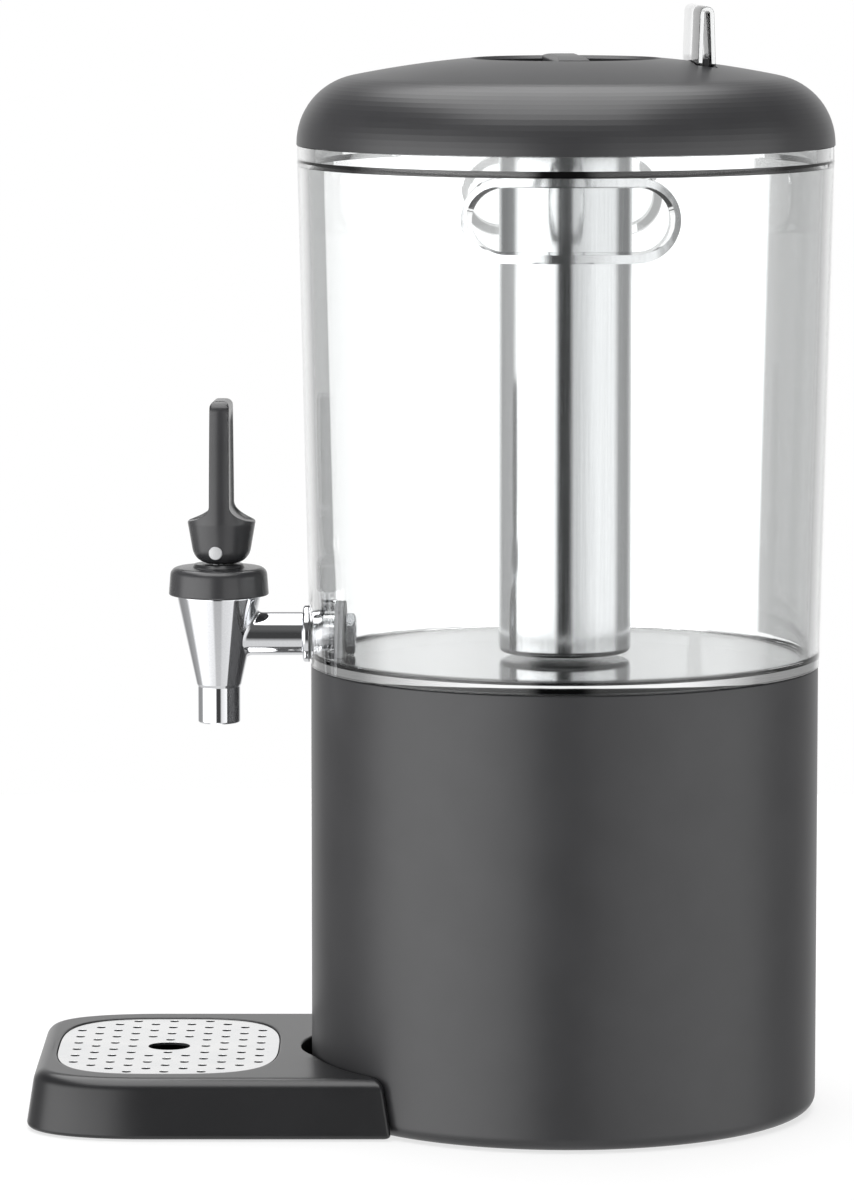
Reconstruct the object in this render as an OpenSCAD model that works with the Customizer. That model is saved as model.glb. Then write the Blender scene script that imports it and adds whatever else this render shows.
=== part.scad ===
// Juice dispenser: a clear drink container with an ice tube stands on a round base, under a domed lid.
// A lever tap leaves the container at the front, over a drip tray that hooks into the base.
// The front is -X, up is +Z, and Z = 0 is the table. Lengths are in millimetres, angles in degrees.

/* [Base] */
// Outer radius of the base
base_r = 110; // [100:1:130]
// Height of the base's upper edge above the table
base_h = 194.7; // [170:0.1:230]
// Thickness of the base's wall
base_wall = 3; // [2:0.1:4]
// Radius of the base's rounded lower edge
base_edge_r = 6; // [4:0.1:7]
// Radius of the base's rounded upper edge
base_top_edge_r = 0.8; // [0.4:0.1:1.2]
// Depth of the seat that takes the container's spigot
base_seat_depth = 6; // [4:0.1:10]
// Thickness of the deck under the container
deck_t = 3; // [2:0.1:5]
// Width of the inner flange that takes the bottom cover
flange_w = 10; // [8:0.1:12]
// Thickness of that flange
flange_t = 3; // [2:0.1:4]
// How far the feet stand out below the housings
foot_drop = 0.8; // [0.5:0.1:1.5]

/* [Base cover and feet] */
// Distance of the bottom cover's edge from the inside of the base's wall
cover_inset = 7.5; // [6.5:0.1:10]
// Thickness of the bottom cover
cover_t = 2.6; // [2.4:0.1:3]
// Radius of one base foot
base_foot_r = 10; // [7:0.1:12]
// Thickness of one base foot
base_foot_t = 2.2; // [1.6:0.1:2.4]
// Distance of the middles of the base feet from the cover's edge
base_foot_inset = 17.5; // [15.5:0.1:29]
// Radius of a cover screw's shank
screw_r = 1.5; // [1.2:0.05:2]
// Radius of a cover screw's head
screw_head_r = 2.9; // [2.6:0.05:3.4]
// Height of a cover screw's head
screw_head_t = 1.3; // [1:0.05:1.5]
// Length of a cover screw's shank
screw_len = 12; // [8:0.1:14]
// Radius of a boss that a cover screw turns into
screw_boss_r = 4.5; // [3.5:0.1:5.5]
// Height of such a boss above the flange
screw_boss_h = 12; // [8:0.1:20]

/* [Container] */
// How far the container's lower edge stands out beyond the base
tank_overhang = 0.5; // [0:0.1:2]
// How much wider the container is at its mouth, on each side
tank_flare = 5.1; // [4:0.1:9]
// Height from the container's lower edge to the ledge that carries the lid
tank_h = 224.3; // [200:0.1:260]
// Thickness of the container's wall
tank_wall = 4.8; // [3.5:0.1:5.5]
// Thickness of the container's floor
tank_floor_t = 3.4; // [2.5:0.1:5]
// Radius between the floor and the wall inside
tank_fillet_r = 3; // [1:0.1:5]
// Height of the thick ledge under the lid
ledge_h = 6; // [4:0.1:9]
// Width of the ledge outside the neck
neck_inset = 4.4; // [4.1:0.1:5.6]
// Thickness of the neck
neck_wall = 3.2; // [2.5:0.1:3.5]
// Height of the neck above the ledge
neck_h = 8; // [5:0.1:10]
// Thickness of the spigot ring under the floor
spigot_wall = 3; // [2:0.1:4]

/* [Grip pockets] */
// Outer length of a pocket's rounded frame
grip_l = 90; // [80:0.1:96]
// Outer height of that frame
grip_h = 35.4; // [30:0.1:40]
// Thickness of the frame and of the pocket's back
grip_wall = 3.8; // [3:0.1:4.5]
// Depth of a pocket from the container's outer radius at the mouth
grip_depth = 24; // [18:0.1:28]
// Height of a pocket's middle below the lid's edge
grip_drop = 26.8; // [24:0.1:32]

/* [Lid] */
// How far the lid's rim stands out beyond the container's mouth
lid_overhang = 0.3; // [0:0.1:2]
// Height of the lid above its lower edge
lid_h = 38.8; // [34:0.1:44]
// Radius of the lid's rounded shoulder
lid_shoulder_r = 29.5; // [24:0.1:31]
// Height of the lid's straight lower rim
lid_rim_h = 0.6; // [0.2:0.1:1.5]
// Thickness of the lid's shell
lid_wall = 3; // [2:0.1:3.2]
// Radius of the round well in the middle of the lid
well_r = 39.6; // [38:0.1:42]
// Depth of the well below the crown of the lid
well_depth = 16.6; // [14:0.1:18]
// Radius of the hole in the well's floor
well_hole_r = 30.5; // [30:0.1:32]
// Room between the neck and the plug ring inside it
plug_room = 2.4; // [2:0.1:4]
// Thickness of the plug ring
plug_wall = 2.5; // [2:0.1:3]
// Height of the plug ring's lower edge above the lid's lower edge
plug_lift = 1.2; // [0.8:0.1:3]
// Turn of the lid on the container, counter-clockwise from above
lid_turn = 4; // [-20:0.5:20]
// Height of the lid's silicone seal
lid_seal_h = 5; // [3:0.1:6]

/* [Label holder] */
// Distance of the label holder from the middle of the lid
label_reach = 57.5; // [57:0.1:62]
// Length of the label holder
label_l = 60; // [40:0.5:60]
// Width across the label holder's legs at the lid
label_w = 8.4; // [8:0.1:10]
// Width across the label holder's rounded top
label_top_w = 6.1; // [5.6:0.1:7]
// Height of the label holder above the slot's floor
label_h = 34.5; // [25:0.5:45]
// Thickness of the label holder's sheet
label_t = 2; // [1.5:0.1:2.1]
// Depth of the label slot below the lid's crown
label_slot_depth = 14; // [12:0.1:15]
// Thickness of the rib inside the label holder
label_rib_t = 2.4; // [1.5:0.1:2.8]
// Height of that rib above the slot's floor
label_rib_h = 12.6; // [9:0.1:16]
// Wall around the label slot
label_pocket_wall = 2; // [1.5:0.1:2.5]

/* [Ice tube and cap] */
// Outer radius of the ice tube
tube_r = 28.7; // [26:0.1:29.5]
// Thickness of the ice tube's wall
tube_wall = 1; // [0.8:0.1:1.5]
// Gap between the ice tube and the container's floor
tube_floor_gap = 1.8; // [1:0.1:6]
// Radius of the ice tube's rounded lower edge
tube_edge_r = 2.5; // [1.5:0.1:4]
// Outer radius of the ice tube's flange
tube_flange_r = 38; // [34:0.1:39]
// Thickness of the flange
tube_flange_t = 1.5; // [1:0.1:2]
// Radius of the cap
cap_r = 39.2; // [38:0.1:39.3]
// Thickness of the cap's disc
cap_t = 3; // [2:0.1:4]
// Width of the grip bar across the cap
bar_w = 13.8; // [10:0.1:16]
// Radius of the grip bar's rounded upper edges
bar_edge_r = 2.5; // [1:0.1:4]
// Outer radius of the cap's plug in the tube
cap_plug_r = 26.6; // [24:0.1:26.9]
// Depth of that plug
cap_plug_h = 11; // [8:0.1:14]
// Radius of the cap seal's round section
cap_seal_t = 1.3; // [1:0.05:1.6]

/* [Tap body] */
// Length of the shank from the tap's axis to the flange
shank_l = 36.4; // [32.4:0.1:46]
// Height of the tap's shank above the base
tap_rise = 12.8; // [12.6:0.1:16]
// Radius at the wide end of the tap's cone
cone_r = 18.2; // [17:0.1:19.5]
// Radius of the spout
spout_r = 9.25; // [8.5:0.05:10.5]
// Radius of the spout's bore
spout_bore_r = 7.2; // [5.5:0.05:7.4]
// Length of the spout
spout_l = 17; // [12:0.1:25]
// Height of the cone
cone_h = 38.6; // [36:0.1:42]
// Height of the cone's upper edge above the shank's middle
cone_rise = 16.8; // [16:0.1:18]
// Radius of the shank
shank_r = 9.4; // [8:0.1:10.5]
// Radius of the threaded tail through the container
tail_r = 6; // [5:0.1:7]
// Radius of the drink's way through the shank
shank_bore_r = 4; // [3:0.1:4.5]

/* [Tap fixing] */
// Radius of the round boss in the container's wall
boss_r = 15; // [13.5:0.1:16]
// Depth of the boss's flat face behind the container's lower edge
boss_recess = 1.3; // [0.9:0.1:1.5]
// Thickness of the boss between its two flat faces
boss_t = 10; // [8.2:0.1:11.2]
// Radius of the flange against the container
tap_flange_r = 12.4; // [11:0.1:12.4]
// Thickness of the flange
tap_flange_t = 3; // [2:0.1:4]
// Thickness of the outer washer
outer_washer_t = 1.4; // [1:0.1:2]
// Thickness of the inner washer
inner_washer_t = 4; // [2:0.1:5]
// Width of the nut across its flats
nut_w = 15.7; // [15:0.1:16.2]
// Thickness of the nut
nut_t = 4.4; // [3.5:0.1:6]

/* [Bonnet and valve] */
// Radius of the bonnet
bonnet_r = 21.7; // [21:0.1:24]
// Height of the bonnet
bonnet_h = 12; // [11.6:0.1:16]
// Radius of the bonnet's rounded shoulder
bonnet_edge_r = 3.6; // [2:0.1:4]
// Thickness of the bonnet's top
bonnet_top_t = 3.2; // [2.5:0.1:4]
// Radius of the raised pad under the lever
pad_r = 10.5; // [9:0.1:12]
// Height of that pad
pad_h = 1.5; // [1:0.1:2]
// Radius of the body's threaded collar inside the bonnet
collar_r = 17.4; // [16.5:0.1:17.5]
// Height of that collar
collar_h = 7; // [5:0.1:7.4]
// Radius of the valve stem
stem_r = 3; // [2.5:0.05:3.5]
// Height of the valve seat above the spout
seat_rise = 3; // [2:0.1:5]
// Height of the valve seat's cone
seat_h = 4; // [3:0.1:5]
// Height of the silicone seat cup
cup_h = 17; // [14:0.1:19]
// Radius of the spring's wire
spring_wire_r = 0.55; // [0.4:0.05:0.8]
// Mean radius of the spring's turns
spring_r = 5.4; // [4.8:0.1:6.5]
// Number of the spring's turns
spring_turns = 6; // [4:1:8]

/* [Lever] */
// Height of the lever above its pin
lever_h = 65.5; // [50:0.5:85]
// Thickness of the lever's upright handle
lever_t = 8.8; // [7:0.1:11]
// Thickness of the lever at its very top
lever_tip_t = 8.4; // [5:0.1:8.6]
// Width of the lever's foot, from side to side
lever_w = 19; // [17:0.1:22]
// Width of the lever's tip, from side to side
lever_tip_w = 15; // [11:0.1:19]
// Thickness of the lever across its shoulders
shoulder_t = 28.8; // [27:0.1:32]
// Height of the shoulders above the pin
shoulder_h = 11.5; // [10.5:0.1:15]
// Height of the curve from the shoulders up to the handle
shoulder_curve_h = 8.6; // [4:0.1:10]
// Thickness of the lever across its lower end
lever_foot_t = 25; // [23:0.1:26.5]
// Radius of the lever's lower corners, on which it rolls
lever_roll_r = 7.5; // [7:0.1:8.4]
// Radius of the lever's upright edges
lever_edge_r = 1.8; // [0.8:0.1:2.5]
// How far the lever is set off behind its pin
lever_shift = 1.2; // [0:0.1:2]
// Depth of the lever below its pin
lever_drop = 5.5; // [5.3:0.1:6.5]
// Radius of the lever's pin
pin_r = 2.95; // [2.5:0.05:3.4]
// Thickness of the stem's eye
eye_t = 6.4; // [5:0.1:8]
// Radius of the stem's eye
eye_r = 5; // [4.6:0.1:5.1]
// Turn of the lever about the tap's axis, clockwise from above
lever_turn = 4.5; // [0:0.5:20]

/* [Drip tray] */
// Length of the tray from the base's front to the tray's front
tray_l = 122; // [105:0.5:140]
// Width of the tray at the table
tray_w = 168; // [150:0.5:180]
// Height of the tray
tray_h = 26.2; // [24:0.1:34]
// How far the tray's walls lean in towards the top
tray_lean = 3; // [2:0.1:5]
// Radius of the tray's front corners
tray_corner_r = 32; // [26:0.5:45]
// Radius of the tray's rounded edges
tray_edge_r = 6; // [3:0.1:7]
// Thickness of the tray's walls
tray_wall = 2.6; // [2:0.1:3.4]
// Gap between the tray and the base
tray_gap = 0.8; // [0.5:0.1:1.5]
// Width of the notch in the tray's end beside the base
notch_w = 54; // [40:0.5:58]
// Depth of that notch
notch_d = 4.6; // [4:0.1:6]
// Depth of the basin below the plate
basin_depth = 16.5; // [10:0.1:19]
// Width of the ledge that carries the plate
plate_ledge_w = 4; // [2:0.1:6]
// Width of each hook that enters the base
hook_w = 14; // [10:0.1:18]
// Thickness of each hook
hook_t = 4; // [3:0.1:5]
// How far each hook reaches behind the base's surface at its middle
hook_reach = 9; // [8:0.1:12]
// Distance of each hook from the tray's middle
hook_y = 40; // [34:0.5:46]
// Height of the hooks' underside above the table
hook_z = 8; // [7.6:0.1:12]
// Radius of one tray foot
tray_foot_r = 5; // [4:0.1:5.4]
// Thickness of one tray foot
tray_foot_t = 2.4; // [1.8:0.1:3]

/* [Drip plate] */
// Distance from the plate's front edge to the tray's front
plate_front = 11.6; // [11.4:0.1:15]
// Distance from the plate's rear edge to the base's front
plate_rear = 14.5; // [13.2:0.1:24]
// Distance from the plate's side edge to the tray's side
plate_side = 18.6; // [17:0.1:28]
// Thickness of the plate
plate_t = 1.2; // [0.8:0.1:2]
// How far the plate lies below the tray's rim
plate_drop = 0.5; // [0.3:0.1:1.6]
// Distance between neighbouring columns of holes
hole_pitch_x = 8; // [7:0.1:10]
// Half the distance between neighbouring holes in a column
hole_pitch_y = 7.4; // [6.5:0.1:10]
// Radius of one hole
hole_r = 1.95; // [1.2:0.05:2.4]
// Radius of the finger hole in the middle
finger_hole_r = 9.1; // [7:0.1:11]
// Least metal between a hole and the plate's edge
hole_margin = 2.6; // [2:0.1:5]

/* [Clearances] */
// Gap between seated pieces that come apart
seat_gap = 0.3; // [0.2:0.05:0.5]
// Gap between a spigot or plug and its socket
spigot_gap = 0.5; // [0.3:0.05:0.8]
// Radial running clearance of the pin and the stem
running_gap = 0.06; // [0.03:0.01:0.1]

/* [Hidden] */
$fn = 96;

// One overrun serves every cut
over = 1;

// Steps along drawn arcs and outlines
arc_steps = 16;
corner_steps = 12;
hole_sides = 32;
dome_sides = 360;
outline_steps = 72;

// Angle at which the curve over the lever's shoulders starts at their tips
shoulder_slope = 22;

// Exponent of the plate's bowed outline
plate_power = 3.2;

// Radii and reaches of the pieces, each from what carries it
cover_r = base_r - base_wall - cover_inset;
base_foot_ring_r = cover_r - base_foot_inset;
tank_r_low = base_r + tank_overhang;
tank_r_top = tank_r_low + tank_flare;
neck_r = tank_r_top - neck_inset;
lid_r = tank_r_top + lid_overhang;
plug_r = neck_r - neck_wall - plug_room;
boss_out = tank_r_low - boss_recess;
boss_in = boss_out - boss_t;
tap_reach = boss_out + outer_washer_t + tap_flange_t + shank_l;
tray_reach = base_r + tray_l;
plate_l = tray_l - plate_front - plate_rear;
plate_w = tray_w - 2 * plate_side;
plate_reach = tray_reach - plate_front - plate_l / 2;

// Places of the container's axis and of the tap's axis, with the whole object's box centred on X = 0
axis_x = (tray_reach - lid_r) / 2;
tap_x = axis_x - tap_reach;

// Heights, from the table up
deck_z = base_h - base_seat_depth;
cover_z = foot_drop;
flange_z = cover_z + cover_t + seat_gap;
tank_z = base_h + seat_gap;
floor_z = tank_z + tank_floor_t;
ledge_z = tank_z + tank_h;
lid_z = ledge_z + seat_gap;
crown_z = lid_z + lid_h;
well_z = crown_z - well_depth;
tube_flange_z = well_z + seat_gap;
cap_z = tube_flange_z + tube_flange_t + seat_gap;
tube_z = floor_z + tube_floor_gap;
tap_z = base_h + tap_rise;
cone_z = tap_z + cone_rise;
seat_z = cone_z - cone_h + seat_rise;
spout_z = cone_z - cone_h - spout_l;
bonnet_z = cone_z + seat_gap;
bonnet_in_z = bonnet_z + bonnet_h - bonnet_top_t;
pad_z = bonnet_z + bonnet_h + pad_h;
pin_z = pad_z + seat_gap + lever_drop;
plate_z = tray_h - plate_drop - plate_t;

// Radii that follow from walls and clearances
spigot_r = base_r - base_wall - spigot_gap;
cup_z = seat_z + seat_gap;
cup_r = spout_bore_r + seat_gap;
chamber_r = spout_bore_r + seat_h;
spring_top_z = bonnet_in_z - seat_gap;
spring_low_z = cup_z + cup_h + seat_gap;

// The lid's dome touches its rounded shoulder at one angle
shoulder_in = lid_r - lid_shoulder_r;
shoulder_fall = lid_rim_h - lid_h;
dome_r = (shoulder_in * shoulder_in + shoulder_fall * shoulder_fall - lid_shoulder_r * lid_shoulder_r)
    / (-2 * (shoulder_fall + lid_shoulder_r));
dome_angle = atan2(shoulder_in, shoulder_fall + dome_r);

// Points along an arc about a centre, from one angle to another
function arc(centre, radius, from, to, steps = arc_steps) =
    [for (i = [0:steps]) let (a = from + (to - from) * i / steps) centre + radius * [cos(a), sin(a)]];

// Signed power, for a bowed rectangle whose sides are never quite straight
function bowed(value, power) = sign(value) * pow(abs(value), 2 / power);
function bowed_outline(half_l, half_w, power) =
    [for (i = [0:outline_steps - 1]) let (a = 360 * i / outline_steps)
        [half_l * bowed(cos(a), power), half_w * bowed(sin(a), power)]];

// Height of the dome above the lid's edge at a radius, on a skin that lies deeper by a depth
function dome_height(radius, depth) =
    lid_h - dome_r + sqrt((dome_r - depth) * (dome_r - depth) - radius * radius);

// Outline of the lid from a radius out to its lower edge, on a skin that lies deeper by a depth
function lid_skin(from_r, depth) = concat(
    arc([0, lid_h - dome_r], dome_r - depth, 90 - asin(from_r / (dome_r - depth)), 90 - dome_angle),
    arc([shoulder_in, lid_rim_h], lid_shoulder_r - depth, 90 - dome_angle, 0),
    [[lid_r - depth, 0]]);

module on_axis() {
    translate([axis_x, 0, 0])
        children();
}

module on_tap() {
    translate([tap_x, 0, 0])
        children();
}

module on_lid() {
    translate([axis_x, 0, lid_z])
        rotate([0, 0, lid_turn])
            children();
}

module on_lever() {
    translate([tap_x, 0, pin_z])
        rotate([0, 0, -lever_turn])
            children();
}

// A ring of copies about the middle, from a first angle
module around(count, radius, first) {
    for (i = [0:count - 1])
        rotate([0, 0, first + 360 * i / count])
            translate([radius, 0, 0])
                children();
}

// A cylinder along X from one place to another
module along_x(from, to, radius) {
    translate([from, 0, 0])
        rotate([0, 90, 0])
            cylinder(h = to - from, r = radius);
}

// A bar along Y with half-round ends, from one place to another
module rounded_bar(length, height, from, to) {
    for (side = [-1, 1])
        translate([side * (length - height) / 2, to, 0])
            rotate([90, 0, 0])
                cylinder(h = to - from, r = height / 2);
    translate([(height - length) / 2, from, -height / 2])
        cube([length - height, to - from, height]);
}

// Base

module base_shell() {
    inside = base_r - base_wall;
    flange_in = inside - base_edge_r - flange_w;
    wall = concat(
        [[flange_in, flange_z], [cover_r + spigot_gap, flange_z], [cover_r + spigot_gap, foot_drop]],
        arc([base_r - base_edge_r, foot_drop + base_edge_r], base_edge_r, -90, 0),
        arc([base_r - base_top_edge_r, base_h - base_top_edge_r], base_top_edge_r, 0, 90),
        [[inside, base_h], [inside, deck_z], [0, deck_z], [0, deck_z - deck_t],
            [inside, deck_z - deck_t], [inside, flange_z + flange_t], [flange_in, flange_z + flange_t]]);
    color("#3c3c3e")
        on_axis()
            difference() {
                union() {
                    rotate_extrude()
                        polygon(wall);
                    translate([0, 0, flange_z])
                        around(4, cover_screw_ring_r(), 45)
                            cylinder(h = flange_t + screw_boss_h, r = screw_boss_r);
                }
                translate([0, 0, flange_z - over])
                    around(4, cover_screw_ring_r(), 45)
                        cylinder(h = screw_len + over, r = screw_r + running_gap);
                for (side = [-1, 1])
                    translate([-base_r - over, side * hook_y - hook_w / 2 - spigot_gap, hook_z - spigot_gap])
                        cube([hook_room(), hook_w + 2 * spigot_gap, hook_t + 2 * spigot_gap]);
            }
}

// The screws stand in the middle of the flange's free width
function cover_screw_ring_r() = base_r - base_wall - base_edge_r - flange_w + screw_boss_r;

// Length of the cut that a hook passes through the base's wall
function hook_room() = over + base_r - sqrt(pow(base_r - base_wall, 2) - pow(hook_y + hook_w, 2)) + base_wall;

module base_cover() {
    color("#2f2f31")
        on_axis()
            translate([0, 0, cover_z])
                difference() {
                    cylinder(h = cover_t, r = cover_r);
                    translate([0, 0, -over])
                        around(4, base_foot_ring_r, 0)
                            cylinder(h = over + base_foot_t - foot_drop, r = base_foot_r + running_gap);
                    translate([0, 0, -over])
                        around(4, cover_screw_ring_r(), 45)
                            cylinder(h = cover_t + 2 * over, r = screw_r + running_gap);
                    translate([0, 0, -over])
                        around(4, cover_screw_ring_r(), 45)
                            cylinder(h = over + screw_head_t, r = screw_head_r + running_gap);
                }
}

module base_feet() {
    color("#1d1d1d")
        on_axis()
            around(4, base_foot_ring_r, 0)
                cylinder(h = base_foot_t, r = base_foot_r);
}

module cover_screws() {
    color("silver")
        on_axis()
            translate([0, 0, cover_z])
                around(4, cover_screw_ring_r(), 45) {
                    cylinder(h = screw_head_t, r = screw_head_r);
                    translate([0, 0, screw_head_t])
                        cylinder(h = screw_len, r = screw_r);
                }
}

// Container

// Outer radius of the container at a height above its lower edge
function tank_radius(z) = tank_r_low + (tank_r_top - tank_r_low) * z / (tank_h - ledge_h);

module tank_envelope() {
    rotate_extrude()
        polygon([[0, 0], [tank_r_low, 0], [tank_r_top, tank_h - ledge_h], [0, tank_h - ledge_h]]);
}

module tank_wall_shape() {
    step = tank_r_top - tank_wall - neck_r + neck_wall;
    inside = tank_radius(tank_floor_t + tank_fillet_r) - tank_wall;
    wall = concat(
        [[0, 0], [spigot_r - spigot_wall, 0], [spigot_r - spigot_wall, deck_z + seat_gap - tank_z],
            [spigot_r, deck_z + seat_gap - tank_z], [spigot_r, 0], [tank_r_low, 0],
            [tank_r_top, tank_h - ledge_h], [tank_r_top, tank_h], [neck_r, tank_h],
            [neck_r, tank_h + neck_h], [neck_r - neck_wall, tank_h + neck_h],
            [neck_r - neck_wall, tank_h - ledge_h], [tank_r_top - tank_wall, tank_h - ledge_h - step]],
        arc([inside - tank_fillet_r, tank_floor_t + tank_fillet_r], tank_fillet_r, 0, -90),
        [[0, tank_floor_t]]);
    rotate_extrude()
        polygon(wall);
}

// The tap's boss is round above and runs straight down to the floor
module boss_shape(from, to, radius, low) {
    translate([0, 0, tap_z - tank_z])
        along_x(-from, -to, radius);
    translate([-from, -radius, low])
        cube([from - to, 2 * radius, tap_z - tank_z - low]);
}

module container() {
    grip_z = tank_h + seat_gap - grip_drop;
    grip_back = tank_r_top - grip_depth;
    color("#dfe3e6", 0.4)
        on_axis()
            translate([0, 0, tank_z])
                difference() {
                    union() {
                        tank_wall_shape();
                        intersection() {
                            tank_envelope();
                            union() {
                                boss_shape(tank_r_top, boss_in, boss_r, 0);
                                for (side = [-1, 1])
                                    scale([1, side, 1])
                                        translate([0, 0, grip_z])
                                            rounded_bar(grip_l, grip_h, grip_back - grip_wall, tank_r_top);
                            }
                        }
                    }
                    boss_shape(tank_r_top + over, boss_out, boss_r, -over);
                    translate([0, 0, tap_z - tank_z])
                        along_x(-tank_r_top, -boss_in + over, tail_r + seat_gap);
                    for (side = [-1, 1])
                        scale([1, side, 1])
                            translate([0, 0, grip_z])
                                rounded_bar(grip_l - 2 * grip_wall, grip_h - 2 * grip_wall,
                                    grip_back, tank_r_top + over);
                }
}

// Lid

module lid() {
    skin = concat(
        [[well_hole_r, lid_h - well_depth - lid_wall], [well_hole_r, lid_h - well_depth],
            [well_r, lid_h - well_depth], [well_r, dome_height(well_r, 0) - lid_wall / 2]],
        lid_skin(well_r + lid_wall / 2, 0),
        [for (p = [len(lid_skin(well_r + lid_wall, lid_wall)) - 1:-1:0])
            lid_skin(well_r + lid_wall, lid_wall)[p]],
        [[well_r + lid_wall, lid_h - well_depth - lid_wall]]);
    color("#3c3c3e")
        on_lid() {
            difference() {
                union() {
                    rotate_extrude()
                        polygon(skin);
                    rotate_extrude()
                        polygon([[plug_r - plug_wall, plug_lift], [plug_r, plug_lift],
                            [plug_r, lid_inner_height(plug_r)],
                            [plug_r - plug_wall, lid_inner_height(plug_r - plug_wall)]]);
                    intersection() {
                        label_box(label_pocket_wall, -label_pocket_wall);
                        lid_solid();
                    }
                }
                label_box(0, 0);
            }
            translate([label_reach - label_rib_t / 2, label_rib_l() / -2, label_floor() - label_pocket_wall / 2])
                cube([label_rib_t, label_rib_l(), label_rib_h + label_pocket_wall / 2]);
        }
}

// Height of the middle of the lid's shell above its lower edge, at a radius under the shoulder
function lid_inner_height(radius) = lid_rim_h
    + sqrt(pow(lid_shoulder_r - lid_wall / 2, 2) - pow(radius - shoulder_in, 2));

// The full dome, used to trim what stands inside it
module lid_solid() {
    rotate_extrude()
        polygon(concat([[0, 0]], lid_skin(0, lid_wall / 2)));
}

// Height of the label slot's floor above the lid's lower edge, and the length of the rib in it
function label_floor() = lid_h - label_slot_depth;
function label_rib_l() = label_l - 2 * label_t;

// Room for the label holder's legs, wider by a border and starting lower by a drop
module label_box(border, low) {
    half_w = label_w / 2 + spigot_gap + border;
    half_l = label_l / 2 + spigot_gap + border;
    translate([label_reach - half_w, -half_l, label_floor() + low])
        cube([2 * half_w, 2 * half_l, label_slot_depth + over - low]);
}

module lid_seal() {
    seal_in = plug_r + running_gap;
    seal_out = neck_r - neck_wall - running_gap;
    lip = (seal_out - seal_in) / 2;
    color("#e8e8e8", 0.7)
        on_lid()
            translate([0, 0, plug_lift])
                rotate_extrude()
                    polygon([[seal_in, 0], [seal_in + lip, 0], [seal_out, lip], [seal_in + lip, 2 * lip],
                        [seal_in + lip, lid_seal_h - 2 * lip], [seal_out, lid_seal_h - lip],
                        [seal_in + lip, lid_seal_h], [seal_in, lid_seal_h]]);
}

module label_holder() {
    top_r = label_top_w / 2;
    color("#e9edf0", 0.35)
        on_lid()
            translate([label_reach, label_l / 2, label_floor() + seat_gap])
                rotate([90, 0, 0])
                    linear_extrude(label_l)
                        polygon(concat(
                            [[label_w / 2, 0]], arc([0, label_h - top_r], top_r, 0, 180),
                            [[-label_w / 2, 0], [label_t - label_w / 2, 0]],
                            arc([0, label_h - top_r], top_r - label_t, 180, 0),
                            [[label_w / 2 - label_t, 0]]));
}

// Ice tube and its cap

module ice_tube() {
    inside = tube_r - tube_wall;
    top = tube_flange_z + tube_flange_t;
    color("#d5d7da")
        on_axis()
            rotate_extrude()
                polygon(concat(
                    [[0, tube_z]], arc([tube_r - tube_edge_r, tube_z + tube_edge_r], tube_edge_r, -90, 0),
                    [[tube_r, tube_flange_z], [tube_flange_r, tube_flange_z], [tube_flange_r, top],
                        [inside, top]],
                    arc([tube_r - tube_edge_r, tube_z + tube_edge_r], tube_edge_r - tube_wall, 0, -90),
                    [[0, tube_z + tube_wall]]));
}

// The bar's section: flat below, with rounded upper edges
module bar_section(height) {
    polygon(concat(
        [[-bar_w / 2, 0], [bar_w / 2, 0]],
        arc([bar_w / 2 - bar_edge_r, height - bar_edge_r], bar_edge_r, 0, 90),
        arc([bar_edge_r - bar_w / 2, height - bar_edge_r], bar_edge_r, 90, 180)));
}

module tube_cap() {
    groove_z = -cap_plug_h / 2;
    color("#3c3c3e")
        on_axis()
            translate([0, 0, cap_z])
                rotate([0, 0, lid_turn]) {
                    cylinder(h = cap_t, r = cap_r);
                    intersection() {
                        cylinder(h = crown_z - cap_z, r = cap_r);
                        translate([0, cap_r, cap_t / 2])
                            rotate([90, 0, 0])
                                linear_extrude(2 * cap_r)
                                    bar_section(crown_z - cap_z - cap_t / 2 - seat_gap);
                        translate([0, 0, crown_z - cap_z - dome_r])
                            sphere(r = dome_r, $fn = dome_sides);
                    }
                    difference() {
                        translate([0, 0, -cap_plug_h])
                            cylinder(h = cap_plug_h, r = cap_plug_r);
                        translate([0, 0, -cap_plug_h - over])
                            cylinder(h = cap_plug_h + over, r = cap_plug_r - 2 * cap_seal_t - tube_wall);
                        translate([0, 0, groove_z])
                            rotate_extrude()
                                translate([cap_seal_ring_r(), 0])
                                    circle(r = cap_seal_t + running_gap);
                    }
                }
}

// Radius of the ring on which the cap seal's round section lies
function cap_seal_ring_r() = tube_r - tube_wall - cap_seal_t - running_gap;

module cap_seal() {
    color("#e8e8e8")
        on_axis()
            translate([0, 0, cap_z - cap_plug_h / 2])
                rotate_extrude()
                    translate([cap_seal_ring_r(), 0])
                        circle(r = cap_seal_t);
}

// Tap

module tap_body() {
    edge = spout_r - spout_bore_r;
    outside = [[0, spout_z], [spout_r - edge / 2, spout_z], [spout_r, spout_z + edge / 2],
        [spout_r, cone_z - cone_h], [cone_r, cone_z], [collar_r, cone_z], [collar_r, cone_z + collar_h],
        [0, cone_z + collar_h]];
    inside = [[0, spout_z - over], [spout_bore_r, spout_z - over], [spout_bore_r, seat_z],
        [chamber_r - seat_h / 2, seat_z + seat_h], [collar_r - 2 * edge, cone_z],
        [collar_r - 2 * edge, cone_z + collar_h + over], [0, cone_z + collar_h + over]];
    color("#c9cbce")
        on_tap()
            difference() {
                union() {
                    rotate_extrude()
                        polygon(outside);
                    translate([0, 0, tap_z]) {
                        along_x(0, shank_l, shank_r);
                        along_x(0, tap_reach - boss_in + inner_washer_t + nut_t, tail_r);
                    }
                }
                rotate_extrude()
                    polygon(inside);
                translate([0, 0, tap_z])
                    along_x(0, tap_reach, shank_bore_r);
            }
}

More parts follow.
